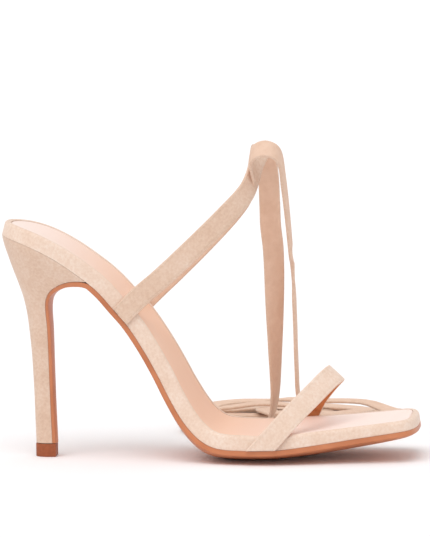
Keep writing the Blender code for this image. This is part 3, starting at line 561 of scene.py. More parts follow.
class Form:
    """The shoe's lines and widths, worked out from its sizes."""

    def __init__(self, sizes):
        self.s = sizes
        rows = np.array(SOLE_LINE)
        forward = rows[:, 0] * sizes.sole_run - sizes.heel_overhang
        rise = sizes.seat_height - sizes.ball_edge
        up = sizes.ball_edge + rows[:, 1] * rise + rows[:, 2] * sizes.toe_spring
        points = smooth_curve(np.stack([forward, up], axis=-1), LINE_SAMPLES)
        lengths = lengths_along(points)
        lean = sizes.arch_lean * table_value(LAYERS, 5, lengths / lengths[-1])
        self.sole = SideLine(points, lean)
        self.breast, self.meets = self.breast_line()

    def plain_half(self, side, along):
        """Half width before the ends are rounded; side -1 is outer and 1 inner."""
        column = 1 if side < 0 else 2
        at = np.asarray(along) / self.sole.length
        return self.s.ball_width * table_value(OUTLINE, column, at)

    def half(self, side, along):
        """Half width: plain width times a circle's quarter at the heel, and times a quarter of a
        superellipse of the toe's squareness at the toe."""
        along = np.asarray(along, float)
        heel = np.clip(1 - along / self.s.heel_round, 0, 1)
        toe = np.clip(1 - (self.sole.length - along) / self.s.toe_round, 0, 1)
        power = self.s.toe_squareness
        return self.plain_half(side, along) * np.sqrt(1 - heel**2) * (1 - toe**power) ** (1 / power)

    def stations(self):
        """Lengths along the sole line, closer together in the rounded ends."""
        turn = np.linspace(0, math.pi / 2, self.s.cap_steps)
        heel = self.s.heel_round * (1 - np.cos(turn))
        power = 2 / self.s.toe_squareness
        toe = self.sole.length - self.s.toe_round * (1 - np.sin(turn) ** power)
        waist = np.linspace(heel[-1], toe[0], self.s.waist_steps)
        return np.concatenate([heel, waist[1:-1], toe])

    def spine(self, along):
        """Where the rings shrink to, pulled in from the two rounded ends."""
        heel = SPINE_HEEL * self.s.heel_round * np.exp(-along / self.s.heel_round)
        rest = (self.sole.length - along) / self.s.toe_round
        return along + heel - SPINE_TOE * self.s.toe_round * np.exp(-rest)

    def layer(self, column, along):
        """A column of the layer table at lengths along the sole line."""
        return table_value(LAYERS, column, np.clip(along / self.sole.length, 0, 1))

    def under(self, along, part):
        """Footbed's underside: a parabola across, deepest in the middle, level at its edge."""
        return -self.s.ball_crown * self.layer(2, along) * (1 - part**2)

    def top(self, along, part):
        """Footbed's rim height less a parabola across for the bed's dish."""
        rim = self.s.footbed_thick * self.layer(1, along)
        return rim - self.s.heel_dish * self.layer(4, along) * (1 - part**2)

    def breast_line(self):
        """The back of the flap from the heel tip up, joined to the sole line at the breast."""
        foot_height = self.s.tip_height + self.s.gap
        meet = np.interp(self.s.breast_top, self.sole.points[:, 0], self.sole.lengths)
        top = self.sole.place(np.array([meet]), 0.0, 0.0)[0]
        rows = np.array(FLAP_LINE)
        forward = self.s.breast_foot + rows[:, 0] * (top[0] - self.s.breast_foot)
        up = foot_height + rows[:, 1] * (top[2] - foot_height)
        ahead = self.sole.place(np.array([meet, meet + 0.006, meet + 0.012]), 0.0, 0.0)
        points = list(zip(forward, up)) + [(place[0], place[2]) for place in ahead]
        curve = smooth_curve(points, LINE_SAMPLES)
        reach = np.linalg.norm(curve - top[[0, 2]], axis=1).argmin()
        return curve[: reach + 1], meet

    def footbed_rings(self):
        """Rings of the footbed's outline."""
        along = self.stations()
        return Rings(along, self.half(-1, along), self.half(1, along), self.spine(along))

    def seat_half(self):
        """Half the heel's width at the front corner of its seat."""
        return self.plain_half(-1, np.array([self.s.seat_corner]))[0]

    def grown_heel(self):
        """The heel's table read smoothly from the tip to the seat."""
        rows = np.array(HEEL)
        return smooth_curve(np.c_[rows[:, 1:2], rows], self.s.heel_sections)[:, 1:]

    def heel_shares(self):
        """Steps from the back of a heel section to its front, closer together at the back."""
        return np.linspace(0, 1, self.s.heel_sides + 1) ** BACK_CROWDING

    def heel_section(self, row, seat_blend):
        """One section of the heel: a half ellipse behind and straight sides in front, which turns
        into the footbed's outline along the sole line as seat_blend goes to one."""
        back_x, back_z, front_share, width_share = row
        breast = SideLine(self.breast)
        reach = front_share * breast.length * self.s.heel_top_share
        front = breast.place(np.array([reach]), 0.0, self.s.seam)[0]
        back = np.array([back_x * self.s.heel_overhang, 0.0, back_z * self.s.seat_height])
        part = self.heel_shares()
        seat_at = SEAT_START + part * (self.s.seat_corner - SEAT_START)
        seat = self.sole.place(seat_at, 0.0, -2 * self.s.seam)
        seat_chord = seat[0] + (seat[-1] - seat[0]) * part[:, None]
        places = back + (front - back) * part[:, None] + (seat - seat_chord) * seat_blend
        stem_shape = np.sqrt(1 - np.clip(1 - part / STEM_ROUND, 0, 1) ** 2)
        seat_half = self.seat_half()
        sides = []
        for side in (-1, 1):
            seat_shape = self.half(side, seat_at) / seat_half
            shape = stem_shape + (seat_shape - stem_shape) * seat_blend
            side_places = places.copy()
            side_places[:, 1] = side * width_share * seat_half * shape
            sides.append(side_places)
        return np.concatenate([sides[0], sides[1][::-1]])

    def seat_place(self, side, part, thick):
        """Where a strap's middle stands beside the footbed, at the sole line's height."""
        along = part * self.sole.length
        place = self.sole.place(np.array([along]), 0.0, 0.0)[0]
        place[1] = side * (self.half(side, along) + self.s.gap + thick / 2)
        return place

    def clear_of_footbed(self, places, thick):
        """Places pushed outward where they come nearer than the gap to the footbed's side."""
        line = self.sole.points[None, :, :] - places[:, None, [0, 2]]
        nearest = np.linalg.norm(line, axis=2).argmin(axis=1)
        along = self.sole.lengths[nearest]
        run = self.sole.run[nearest]
        away = places[:, [0, 2]] - self.sole.points[nearest]
        beside = away[:, 1] * run[:, 0] - away[:, 0] * run[:, 1] < 1.5 * self.s.footbed_thick
        side = np.sign(places[:, 1])
        half = np.where(side < 0, self.half(-1, along), self.half(1, along))
        wall = np.maximum(np.abs(places[:, 1]), half + self.s.gap + thick / 2)
        pushed = places.copy()
        pushed[:, 1] = np.where(beside, side * wall, places[:, 1])
        return pushed

    def strap(self, table, seats, top, thick, step):
        """A strap's middle, width directions and facings at even steps along its curve."""
        rows = np.array(table)
        seat = np.where(rows[:, 1:2] < 0, seats[0], seats[1])
        rows[:, 0] = seat[:, 0] + rows[:, 0] * (top[0] - seat[:, 0])
        rows[:, 1] = rows[:, 1] * np.abs(seat[:, 1])
        rows[:, 2] = seat[:, 2] + rows[:, 2] * (top[1] - seat[:, 2])
        places = self.clear_of_footbed(smooth_curve(rows[:, :3], LINE_SAMPLES), thick)
        lengths = lengths_along(places)
        row_at = [lengths[np.linalg.norm(places - row, axis=1).argmin()] for row in rows[:, :3]]
        at = np.linspace(0, lengths[-1], max(3, round(lengths[-1] / step)) + 1)
        middle = read_along(places, at)
        run = unit(np.gradient(middle, axis=0))
        facing = np.stack([np.interp(at, row_at, rows[:, i]) for i in (3, 4, 5)], axis=-1)
        facing = unit(facing - np.sum(facing * run, axis=1)[:, None] * run)
        return middle, np.cross(run, facing), facing

    def waist_strap(self, side, step):
        """The outer (-1) or inner (1) waist strap's lines and its seat."""
        part = self.s.outer_seat if side < 0 else self.s.inner_seat
        table = OUTER_STRAP if side < 0 else INNER_STRAP
        seat = self.seat_place(side, part, self.s.strap_thick)
        top = (self.s.cross_forward, self.s.cross_height)
        return self.strap(table, (seat, seat), top, self.s.strap_thick, step), seat

    def resting_heights(self, plan, laid):
        """Heights of a tie's middle: on the floor, or a layer over whatever lies nearer than its
        width, with a smooth step down (3t squared less 2t cubed) around that."""
        heights = np.full(len(plan), self.s.strap_thick / 2 + 0.0002)
        width = self.s.strap_width
        for i, place in enumerate(plan):
            apart_enough = TIE_OWN * width / self.s.tie_step
            own = [(plan[j], heights[j]) for j in range(i) if i - j > apart_enough]
            for other, height in laid + own:
                beyond = np.linalg.norm(place - other) - TIE_NEAR * width
                fall = np.clip(beyond / (TIE_FADE * width), 0, 1)
                lift = 1 - fall * fall * (3 - 2 * fall)
                heights[i] = max(heights[i], (height + self.s.layer) * lift)
        return heights

    def tie(self, side, laid):
        """A tie's middle, width directions and facings, and what it lays on the floor."""
        rows = OUTER_TIE if side < 0 else INNER_TIE
        landing = -1.0 if side < 0 else 1.0
        (strap, _, strap_face), _ = self.waist_strap(side, STRAP_STEP)
        tail_run = unit(strap[-1] - strap[-2])
        start = strap[-1]
        points = np.array(rows, float) * MILLIMETRE
        ahead = start + tail_run * self.s.tie_step
        curve = smooth_curve(np.vstack([start, ahead, points]), LINE_SAMPLES)
        at = np.arange(0.0, min(self.s.tie_length, lengths_along(curve)[-1]), self.s.tie_step)
        middle = read_along(curve, at)
        on_floor = points[[row[2] == 0 for row in rows]][0]
        first = np.linalg.norm(middle - on_floor, axis=1).argmin()
        lying = self.resting_heights(middle[:, :2], laid)
        middle[first:, 2] = lying[first:]
        middle[:first, 2] = np.maximum(middle[:first, 2], lying[:first])
        laid = [(place[:2], place[2]) for place in middle[first - 2 :]]
        turned = np.clip(np.arange(len(middle)) / (first - 1), 0, 1)[:, None]
        fine = smooth_curve(np.c_[middle, turned], TIE_FINE * len(middle))
        middle = fine[:, :3]
        middle[:, 2] = np.maximum(middle[:, 2], self.s.strap_thick / 2 + 0.0001)
        turned = fine[:, 3:]
        run = unit(np.gradient(middle, axis=0))
        hang = strap_face[-1] * (1 - turned) + np.array([-1.0, 0.0, 0.0]) * turned
        down = np.clip(-run[:, 2:], 0, 1)
        facing = hang * down + np.array([0.0, 0.0, -landing]) * np.sqrt(1 - down**2)
        held = np.clip(1 - np.arange(len(fine)) / TIE_HELD, 0, 1)[:, None]
        facing = strap_face[-1] * held + unit(facing) * (1 - held)
        facing = unit(facing - np.sum(facing * run, axis=1)[:, None] * run)
        return (middle, np.cross(run, facing), facing), laid


def add_surface(name, rows, materials, faces=None, uv=None, closed=True, sharp=38):
    """A mesh from rows of points. Quads join each row to the next; the rows run once around.
    faces gives each column's material and uv each point's own coordinates in metres."""
    rows = np.asarray(rows, float)
    tall, wide = rows.shape[:2]
    index = np.arange(tall * wide).reshape(tall, wide)
    nexts = np.roll(index, -1, axis=1)
    quads = np.stack([index[:-1], nexts[:-1], nexts[1:], index[1:]], axis=-1).reshape(-1, 4)
    polygons = quads.tolist()
    if closed:
        polygons += [index[0][::-1].tolist(), index[-1].tolist()]
    mesh = bpy.data.meshes.new(name)
    mesh.from_pydata(rows.reshape(-1, 3).tolist(), [], polygons)
    if faces is not None:
        slots = np.zeros(len(polygons), dtype=np.int32)
        slots[: len(quads)] = np.tile(faces, tall - 1)
        mesh.polygons.foreach_set("material_index", slots)
    if uv is not None:
        layer = mesh.uv_layers.new(name="band")
        loops = np.zeros(len(mesh.loops), dtype=np.int32)
        mesh.loops.foreach_get("vertex_index", loops)
        layer.data.foreach_set("uv", np.asarray(uv).reshape(-1, 2)[loops].ravel())
    form = bmesh.new()
    form.from_mesh(mesh)
    bmesh.ops.remove_doubles(form, verts=form.verts, dist=2e-6)
    bmesh.ops.dissolve_degenerate(form, edges=form.edges, dist=1e-7)
    bmesh.ops.recalc_face_normals(form, faces=form.faces)
    form.to_mesh(mesh)
    form.free()
    mesh.shade_smooth()
    mesh.set_sharp_from_angle(angle=math.radians(sharp))
    for material in materials:
        mesh.materials.append(material)
    thing = bpy.data.objects.new(name, mesh)
    bpy.context.scene.collection.objects.link(thing)
    return thing


def stand_for(thing, slot, *nodes):
    """Let a piece ride on the root and replace its CAD nodes; its slot is not used."""
    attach(thing, "root")
    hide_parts(*nodes)


def cap_rows(sections):
    """The sections with each end closed by drawing the last one in to its middle line."""
    wide = len(sections[0]) // 2
    ends = []
    for section in (sections[0], sections[-1]):
        middle = (section[:wide] + section[wide:][::-1]) / 2
        ends.append(np.concatenate([middle, middle[::-1]]))
    return [ends[0], *sections, ends[1]]


def band_section(width, thick):
    """A strap's cross-section: two gently crowned faces and half-round edges. Returns the
    points across and through, and which of the strips between them face inward."""
    radius = thick * 0.46
    flat = np.linspace(-1, 1, 9)[1:-1] * (width / 2 - radius)
    turn = np.linspace(-math.pi / 2, math.pi / 2, 7)
    right = np.stack([width / 2 - radius + radius * np.cos(turn), radius * np.sin(turn)], axis=-1)
    crown = thick / 2 - 0.08 * thick * (flat / (width / 2)) ** 2
    upper = np.stack([flat[::-1], crown[::-1]], axis=-1)
    lower = np.stack([flat, -crown], axis=-1)
    points = np.concatenate([right, upper, right[::-1] * [-1, 1], lower])
    inward = np.roll(points, -1, axis=0)[:, 1] + points[:, 1] < -thick * 0.7
    return points, inward.astype(np.int32)


def band(name, lines, width, thick, materials):
    """A strap swept along its middle: each section's point is the middle plus across times the
    width direction plus through times the facing."""
    middle, way, facing = lines
    section, inward = band_section(width, thick)
    rows = (
        middle[:, None, :]
        + way[:, None, :] * section[None, :, :1]
        + facing[:, None, :] * section[None, :, 1:]
    )
    along = lengths_along(middle)[:, None] + 0 * section[None, :, 0]
    across = section[None, :, 0] + 0 * along
    uv = np.stack([across, along], axis=-1)
    return add_surface(name, rows, materials, faces=inward, uv=uv, sharp=60)


def cut_level(thing, form, seat):
    """Cut a strap off a gap above the outsole's edge at its seat, and close the cut."""
    along = np.interp(seat[0], form.sole.points[:, 0], form.sole.lengths)
    place = form.sole.place(np.array([along]), seat[1], form.s.gap)[0]
    run = [np.interp(along, form.sole.lengths, form.sole.run[:, i]) for i in (0, 1)]
    mesh = bmesh.new()
    mesh.from_mesh(thing.data)
    cut = bmesh.ops.bisect_plane(
        mesh,
        geom=list(mesh.verts) + list(mesh.edges) + list(mesh.faces),
        plane_co=place,
        plane_no=(-run[1], 0.0, run[0]),
        clear_inner=True,
    )
    rim = [item for item in cut["geom_cut"] if isinstance(item, bmesh.types.BMEdge)]
    bmesh.ops.holes_fill(mesh, edges=rim)
    mesh.to_mesh(thing.data)
    mesh.free()


def linear(code):
    """An sRGB hex colour as linear red, green, blue and alpha."""
    values = [int(code[i : i + 2], 16) / 255 for i in (1, 3, 5)]
    low = [v / 12.92 if v <= 0.04045 else ((v + 0.055) / 1.055) ** 2.4 for v in values]
    return (*low, 1.0)


class Finish:
    """A material under construction: a Principled BSDF and helpers to add nodes to it."""

    def __init__(self, name, **settings):
        self.material = bpy.data.materials.new(name)
        self.material.use_nodes = True
        self.tree = self.material.node_tree
        self.shader = self.tree.nodes["Principled BSDF"]
        for key, value in settings.items():
            self.shader.inputs[SHADER_SOCKETS[key]].default_value = value

    def node(self, kind, links=None, **settings):
        """Add a node, set its properties or sockets, and link its inputs."""
        node = self.tree.nodes.new(kind)
        for key, value in settings.items():
            if hasattr(node, key):
                setattr(node, key, value)
            else:
                node.inputs[key.replace("_", " ")].default_value = value
        for socket, source in (links or {}).items():
            self.tree.links.new(source, node.inputs[socket])
        return node

    def noise(self, size, detail=3.0, source=None):
        """Noise whose grains are about the given size in metres."""
        place = source or self.node("ShaderNodeTexCoord").outputs["Object"]
        scale = 1.0 / size
        node = self.node(
            "ShaderNodeTexNoise", {"Vector": place}, Scale=scale, Detail=detail, Roughness=0.55
        )
        return node.outputs["Fac"]

    def ramp(self, factor, stops):
        """Colours at stops along a factor."""
        node = self.node("ShaderNodeValToRGB", {"Fac": factor})
        ramp = node.color_ramp
        while len(ramp.elements) < len(stops):
            ramp.elements.new(0.5)
        for element, (at, code) in zip(ramp.elements, stops):
            element.position = at
            element.color = linear(code)
        return node.outputs["Color"]

    def paint(self, colour_output):
        """Link a colour to the shader."""
        self.tree.links.new(colour_output, self.shader.inputs["Base Color"])

    def bump(self, height, depth, strength=1.0, under=None):
        """Raise the surface by a height map of the given depth in metres."""
        links = {"Height": height}
        if under is not None:
            links["Normal"] = under
        node = self.node("ShaderNodeBump", links, Strength=strength, Distance=depth)
        return node.outputs["Normal"]

    def relief(self, normal):
        """Link a normal to the shader."""
        self.tree.links.new(normal, self.shader.inputs["Normal"])


def suede_material(name, tones, stitched=False):
    """Brushed split suede: a short nap in soft 14 mm patches of brushed and raised tone over fine
    fibres, which gives a dull, velvety face with no highlight. The fibres are drawn at 0.5 mm,
    coarser than real ones, so that they show. The tones are dark, middle and light."""
    finish = Finish(name, roughness=0.95, sheen=0.25, specular=0.18)
    patches = finish.noise(0.014, 2.0)
    nap = finish.noise(0.0013, 4.0)
    mixed = finish.node(
        "ShaderNodeMix", {"A": patches, "B": nap}, data_type="FLOAT", Factor=0.6
    ).outputs["Result"]
    finish.paint(finish.ramp(mixed, tuple(zip((0.34, 0.50, 0.68), tones))))
    finish.shader.inputs["Sheen Roughness"].default_value = 0.5
    fibres = finish.bump(finish.noise(0.0005, 5.0), 0.00012, 0.6)
    if stitched:
        fibres = stitch_relief(finish, fibres)
    finish.relief(fibres)
    return finish.material


def stitch_relief(finish, under):
    """A row of short stitches 1.3 mm inside each edge of a strap: dashes where the distance from
    the edge is within a thread's half width, cut by a sine along the strap."""
    place = finish.node("ShaderNodeUVMap", uv_map="band").outputs["UV"]
    split = finish.node("ShaderNodeSeparateXYZ", {"Vector": place})
    across = finish.node(
        "ShaderNodeMath", {0: split.outputs["X"]}, operation="ABSOLUTE"
    ).outputs[0]
    away = finish.node("ShaderNodeMath", {0: across}, operation="SUBTRACT")
    away.inputs[1].default_value = STITCH_FROM_MIDDLE
    near = finish.node("ShaderNodeMath", {0: away.outputs[0]}, operation="ABSOLUTE")
    line = finish.node("ShaderNodeMapRange", {"Value": near.outputs[0]})
    line.inputs["From Min"].default_value = 0.0
    line.inputs["From Max"].default_value = STITCH_HALF_WIDTH
    line.inputs["To Min"].default_value = 1.0
    line.inputs["To Max"].default_value = 0.0
    wave = finish.node("ShaderNodeMath", {0: split.outputs["Y"]}, operation="MULTIPLY")
    wave.inputs[1].default_value = 2 * math.pi / STITCH_PITCH
    sine = finish.node("ShaderNodeMath", {0: wave.outputs[0]}, operation="SINE")
    dash = finish.node("ShaderNodeMath", {0: sine.outputs[0]}, operation="GREATER_THAN")
    dash.inputs[1].default_value = STITCH_CUT
    both = finish.node(
        "ShaderNodeMath", {0: line.outputs[0], 1: dash.outputs[0]}, operation="MULTIPLY"
    )
    return finish.bump(both.outputs[0], -STITCH_DEPTH, 0.7, under)


def leather_material(colours):
    """Smooth sock lining leather: a deeper peach at the arch, and painted highlight that pales it
    towards the toe and the heel seat, with a faint cloud and a fine pore relief."""
    finish = Finish("sock_leather_painted_highlight", roughness=0.55, sheen=0.05, specular=0.4)
    cloud = finish.noise(0.03, 2.0)
    place = finish.node("ShaderNodeTexCoord").outputs["Object"]
    forward = finish.node("ShaderNodeSeparateXYZ", {"Vector": place}).outputs["X"]
    # Painted highlight: the sock pales towards the toe and the heel seat.
    toe = finish.node("ShaderNodeMapRange", {"Value": forward}, interpolation_type="SMOOTHSTEP")
    toe.inputs["From Min"].default_value = 0.085
    toe.inputs["From Max"].default_value = 0.150
    seat = finish.node("ShaderNodeMapRange", {"Value": forward}, interpolation_type="SMOOTHSTEP")
    seat.inputs["From Min"].default_value = 0.055
    seat.inputs["From Max"].default_value = -0.020
    pale = finish.node(
        "ShaderNodeMath", {0: toe.outputs[0], 1: seat.outputs[0]}, operation="ADD"
    ).outputs[0]
    drift = finish.node("ShaderNodeMix", {"A": pale, "B": cloud}, data_type="FLOAT", Factor=0.16)
    tone = drift.outputs["Result"]
    finish.paint(finish.ramp(tone, ((0.05, colours.sock_deep), (0.92, colours.sock))))
    finish.relief(finish.bump(finish.noise(0.0006, 3.0), 0.00004, 0.5))
    return finish.material


def outsole_material(colours):
    """Moulded thermoplastic outsole: satin, with a soft sheen along its edge and faint clouds."""
    finish = Finish("moulded_outsole_finish", roughness=0.42, specular=0.45)
    cloud = finish.noise(0.02, 3.0)
    finish.paint(finish.ramp(cloud, ((0.3, colours.outsole_deep), (0.6, colours.outsole))))
    finish.relief(finish.bump(finish.noise(0.0009, 3.0), 0.00003, 0.4))
    return finish.material


def rubber_material(colours):
    """Cut rubber top piece: matte and darker, with a fine grain from the cut."""
    finish = Finish("top_piece_rubber", roughness=0.6, specular=0.35)
    grain = finish.noise(0.0015, 4.0)
    finish.paint(finish.ramp(grain, ((0.3, "#96502F"), (0.7, colours.tip))))
    finish.relief(finish.bump(grain, 0.00006, 0.5))
    return finish.material


def lining_material(name, tone, deep_tone):
    """Strap lining: matte dyed leather, a little deeper where it has been rubbed."""
    finish = Finish(name, roughness=0.7, specular=0.3)
    grain = finish.noise(0.004, 4.0)
    finish.paint(finish.ramp(grain, ((0.3, deep_tone), (0.7, tone))))
    finish.relief(finish.bump(finish.noise(0.0007, 3.0), 0.00005, 0.5))
    return finish.material


def material(name):
    """One of the scene's materials by name, made the first time it is asked for."""
    found = bpy.data.materials.get(name)
    if found:
        return found
    colours = bpy.context.scene.sandal_colours
    tones = (colours.suede_dark, colours.suede, colours.suede_light)
    # A lighter copy of the suede tones, as painted highlight on the footbed and the toe strap.
    painted_highlight_tones = (colours.bed_dark_painted_highlight, colours.bed, colours.bed_light_painted_highlight)
    makers = {
        "brushed_suede": lambda: suede_material("brushed_suede", tones),
        "footbed_suede_painted_highlight": lambda: suede_material("footbed_suede_painted_highlight", painted_highlight_tones),
        "stitched_suede": lambda: suede_material("stitched_suede", tones, True),
        "stitched_suede_painted_highlight": lambda: suede_material("stitched_suede_painted_highlight", painted_highlight_tones, True),
        "sock_leather_painted_highlight": lambda: leather_material(colours),
        "moulded_outsole_finish": lambda: outsole_material(colours),
        "top_piece_rubber": lambda: rubber_material(colours),
        "tan_strap_lining": lambda: lining_material("tan_strap_lining", colours.lining, "#C07648"),
        "peach_strap_lining": lambda: lining_material(
            "peach_strap_lining", colours.reverse, "#DFBCA4"
        ),
    }
    return makers[name]()


class SANDAL_OT_sole(bpy.types.Operator):
    """Build the outsole, the covered footbed and the sock lining"""

    bl_idname = "sandal.sole"
    bl_label = "Sole and footbed"

    def execute(self, context):
        form = Form(context.scene.sandal_sizes)
        self.footbed(form)
        self.sock(form)
        self.outsole(form)
        return {"FINISHED"}

    def footbed(self, form):
        """Underside, side wall, quarter-round rim, and the bed's floor under the sock."""
        s = form.s
        rings = form.footbed_rings()
        rows = []
        for part in np.linspace(0, 1, 9):
            along, across = rings.ring(part)
            rows.append(form.sole.place(along, across, form.under(along, part)))
        for turn in np.linspace(0, math.pi / 2, 9):
            along, across = rings.ring(rings.inset(s.rim_radius * (1 - math.cos(turn))))
            drop = s.rim_radius * (1 - math.sin(turn))
            rows.append(form.sole.place(along, across, form.top(along, 1.0) - drop))
        part = rings.inset(s.rim_width - s.gap)
        along, across = rings.ring(part)
        rows.append(form.sole.place(along, across, form.top(along, part)))
        bed = s.sock_thick + s.gap
        for inner in (1.0, 0.5, 0.0):
            along, across = rings.ring(part * inner)
            rows.append(form.sole.place(along, across, form.top(along, part * inner) - bed))
        # The footbed's suede is the lighter copy, with painted highlight.
        thing = add_surface("footbed_cover", rows, [material("footbed_suede_painted_highlight")])
        stand_for(thing, "suede_cover", "footbed")

    def sock(self, form):
        """A thin sheet in the bed, with an edge that rolls down over its own thickness."""
        s = form.s
        rings = form.footbed_rings()
        edge = rings.inset(s.rim_width)
        rows = []
        for inner in (0.0, 0.5, 1.0):
            along, across = rings.ring(edge * inner)
            height = form.top(along, edge * inner) - s.sock_thick
            rows.append(form.sole.place(along, across, height))
        for turn in np.linspace(0, math.pi / 2, 5):
            inset = rings.inset(s.rim_width + s.sock_thick * (1 - math.cos(turn)))
            along, across = rings.ring(inset)
            drop = s.sock_thick * (1 - math.sin(turn)) * 0.6
            rows.append(form.sole.place(along, across, form.top(along, inset) - drop))
        inset = rings.inset(s.rim_width + s.sock_thick)
        for inner in np.linspace(1, 0, 12)[1:]:
            along, across = rings.ring(inset * inner)
            rows.append(form.sole.place(along, across, form.top(along, inset * inner)))
        # The sock carries painted highlight at the toe and the heel seat.
        thing = add_surface("sock_sheet", rows, [material("sock_leather_painted_highlight")])
        stand_for(thing, "sock_lining", "insole_sock")

    def outsole(self, form):
        """A sheet under the footbed, crowned by a parabola across, that turns down the heel."""
        s = form.s
        sole = form.sole
        toe_part = sole.lengths > form.meets
        flap_length = lengths_along(form.breast)[-1]
        climb = lengths_along(form.breast) / flap_length
        flap_lean = sole.lean[toe_part][0] * climb**FLAP_LEAN_POWER
        line = SideLine(
            np.concatenate([form.breast, sole.points[toe_part]]),
            np.concatenate([flap_lean, sole.lean[toe_part]]),
        )
        shift = flap_length - form.meets
        flap_at = np.linspace(0, 1, s.flap_steps + 1)[:-1] ** FLAP_CROWDING
        heel_rows = form.grown_heel()
        stem = np.interp(flap_at / s.heel_top_share, heel_rows[:, 2], heel_rows[:, 3])
        sole_at = form.stations()
        sole_at = sole_at[sole_at > form.meets + 0.001]
        along = np.concatenate([flap_at * flap_length, sole_at + shift])
        widths = []
        for side in (-1, 1):
            waist = form.half(side, np.array([form.meets])) + s.outsole_welt
            flap_half = np.minimum(stem * form.seat_half(), waist)
            widths.append(np.concatenate([flap_half, form.half(side, sole_at) + s.outsole_welt]))
            widths[-1][-1] = 0.0
        core = np.concatenate([flap_at * flap_length, form.spine(sole_at) + shift])
        rings = Rings(along, widths[0], widths[1], core)
        on_sole = np.maximum(along - shift, form.meets)
        blend = np.clip((along / flap_length - FLAP_THICKENS) / FLAP_THICKENS_OVER, 0, 1)
        edge = s.flap_thick + (s.outsole_edge - s.flap_thick) * blend
        crown = s.outsole_crown * form.layer(3, on_sole) + s.ball_crown * form.layer(2, on_sole)
        on_sole, edge, crown = [np.r_[values, values[::-1]] for values in (on_sole, edge, crown)]
        rows = []
        for part in np.linspace(0, 1, 7):
            at, across = rings.ring(part)
            rows.append(line.place(at, across, form.under(on_sole, part) - s.seam))
        for part in (1.0, 0.994, 0.985, 0.96, 0.93, 0.88, 0.8, 0.7, 0.55, 0.4, 0.25, 0.0):
            at, across = rings.ring(part)
            roll = edge * (1 - 0.12 * np.clip((part - 0.985) / 0.015, 0, 1))
            row = line.place(at, across, -s.gap - roll - crown * (1 - part**2))
            row[:, 2] = np.maximum(row[:, 2], 0.0)
            rows.append(row)
        thing = add_surface("outsole_moulding", rows, [material("moulded_outsole_finish")])
        stand_for(thing, "moulded_outsole", "outsole")


class SANDAL_OT_heel(bpy.types.Operator):
    """Build the covered heel and its top piece"""

    bl_idname = "sandal.heel"
    bl_label = "Heel"

    def execute(self, context):
        form = Form(context.scene.sandal_sizes)
        self.stem(form)
        self.tip(form)
        return {"FINISHED"}

    def stem(self, form):
        """Sections from the tip to the seat; the last is the footbed's own outline."""
        grown = form.grown_heel()
        climb = np.clip((grown[:, 1] - FLARE_FROM) / (FLARE_TO - FLARE_FROM), 0, 1)
        blends = climb**FLARE_POWER
        sections = [form.heel_section(row, blend) for row, blend in zip(grown, blends)]
        seat_at = SEAT_START + form.heel_shares() * (form.s.seat_corner - SEAT_START)
        seat = [
            form.sole.place(seat_at, side * form.half(side, seat_at), -2 * form.s.seam)
            for side in (-1, 1)
        ]
        sections.append(np.concatenate([seat[0], seat[1][::-1]]))
        rows = cap_rows(sections)
        thing = add_surface("heel_cover", rows, [material("brushed_suede")], closed=False)
        stand_for(thing, "suede_cover", "heel")

    def tip(self, form):
        """The stem's lowest section, stretched forward under the flap, with a small round at its
        upper and lower edges."""
        s = form.s
        first = form.heel_section(np.array(HEEL)[0], 0.0)
        breast = SideLine(form.breast)
        front = breast.place(np.array([0.0]), 0.0, -s.gap - s.flap_thick)[0]
        low = first[:, 0].min()
        outline = first.copy()
        outline[:, 0] = low + (first[:, 0] - low) * (front[0] - low) / (first[:, 0].max() - low)
        middle = (outline[:, 0].min() + outline[:, 0].max()) / 2
        lip = s.tip_lip / s.stem_half
        levels = ((0.0, -0.02), (0.0002, lip * 0.6), (0.0006, lip), (0.5 * s.tip_height, lip))
        levels += ((s.tip_height - 0.0003, lip), (s.tip_height, lip * 0.4))
        rows = []
        for height, swell in levels:
            row = outline.copy()
            row[:, 0] = middle + (row[:, 0] - middle) * (1 + swell)
            row[:, 1] = row[:, 1] * (1 + swell)
            row[:, 2] = height
            rows.append(row)
        rows = cap_rows(rows)
        thing = add_surface("top_piece", rows, [material("top_piece_rubber")], closed=False)
        stand_for(thing, "tip_rubber", "heel_tip")


class SANDAL_OT_straps(bpy.types.Operator):
    """Build the toe strap and the two waist straps"""

    bl_idname = "sandal.straps"
    bl_label = "Straps"

    def execute(self, context):
        form = Form(context.scene.sandal_sizes)
        s = form.s
        looks = [material("stitched_suede"), material("peach_strap_lining")]
        outer = form.seat_place(-1, s.toe_outer_seat, s.toe_strap_thick)
        inner = form.seat_place(1, s.toe_inner_seat, s.toe_strap_thick)
        top = (s.toe_top_forward, s.toe_top_height)
        lines = form.strap(TOE_STRAP, (outer, inner), top, s.toe_strap_thick, TOE_BAND_STEP)
        # The toe strap's suede is the lighter copy, with painted highlight.
        pale = [material("stitched_suede_painted_highlight"), material("tan_strap_lining")]
        toe = band("toe_strap_band", lines, s.toe_strap_width, s.toe_strap_thick, pale)
        cut_level(toe, form, outer)
        cut_level(toe, form, inner)
        stand_for(toe, "suede_cover", "toe_strap")
        waist = []
        for side, name in ((-1, "waist_strap_outer"), (1, "waist_strap_inner")):
            lines, seat = form.waist_strap(side, WAIST_BAND_STEP)
            strap = band(name, lines, s.strap_width, s.strap_thick, looks)
            cut_level(strap, form, seat)
            waist.append(strap)
        for strap in waist:
            stand_for(strap, "suede_cover", "ankle_straps")
        return {"FINISHED"}


class SANDAL_OT_ties(bpy.types.Operator):
    """Lay out the two loose ties"""

    bl_idname = "sandal.ties"
    bl_label = "Ties"

    def execute(self, context):
        form = Form(context.scene.sandal_sizes)
        s = form.s
        laid = []
        looks = [material("stitched_suede"), material("peach_strap_lining")]
        for side, name, node in (
            (-1, "tie_ribbon_outer", "tie_outer"),
            (1, "tie_ribbon_inner", "tie_inner"),
        ):
            lines, added = form.tie(side, laid)
            laid = laid + added
            ribbon = band(name, lines, s.strap_width, s.strap_thick, looks)
            stand_for(ribbon, "suede_cover", node)
        return {"FINISHED"}


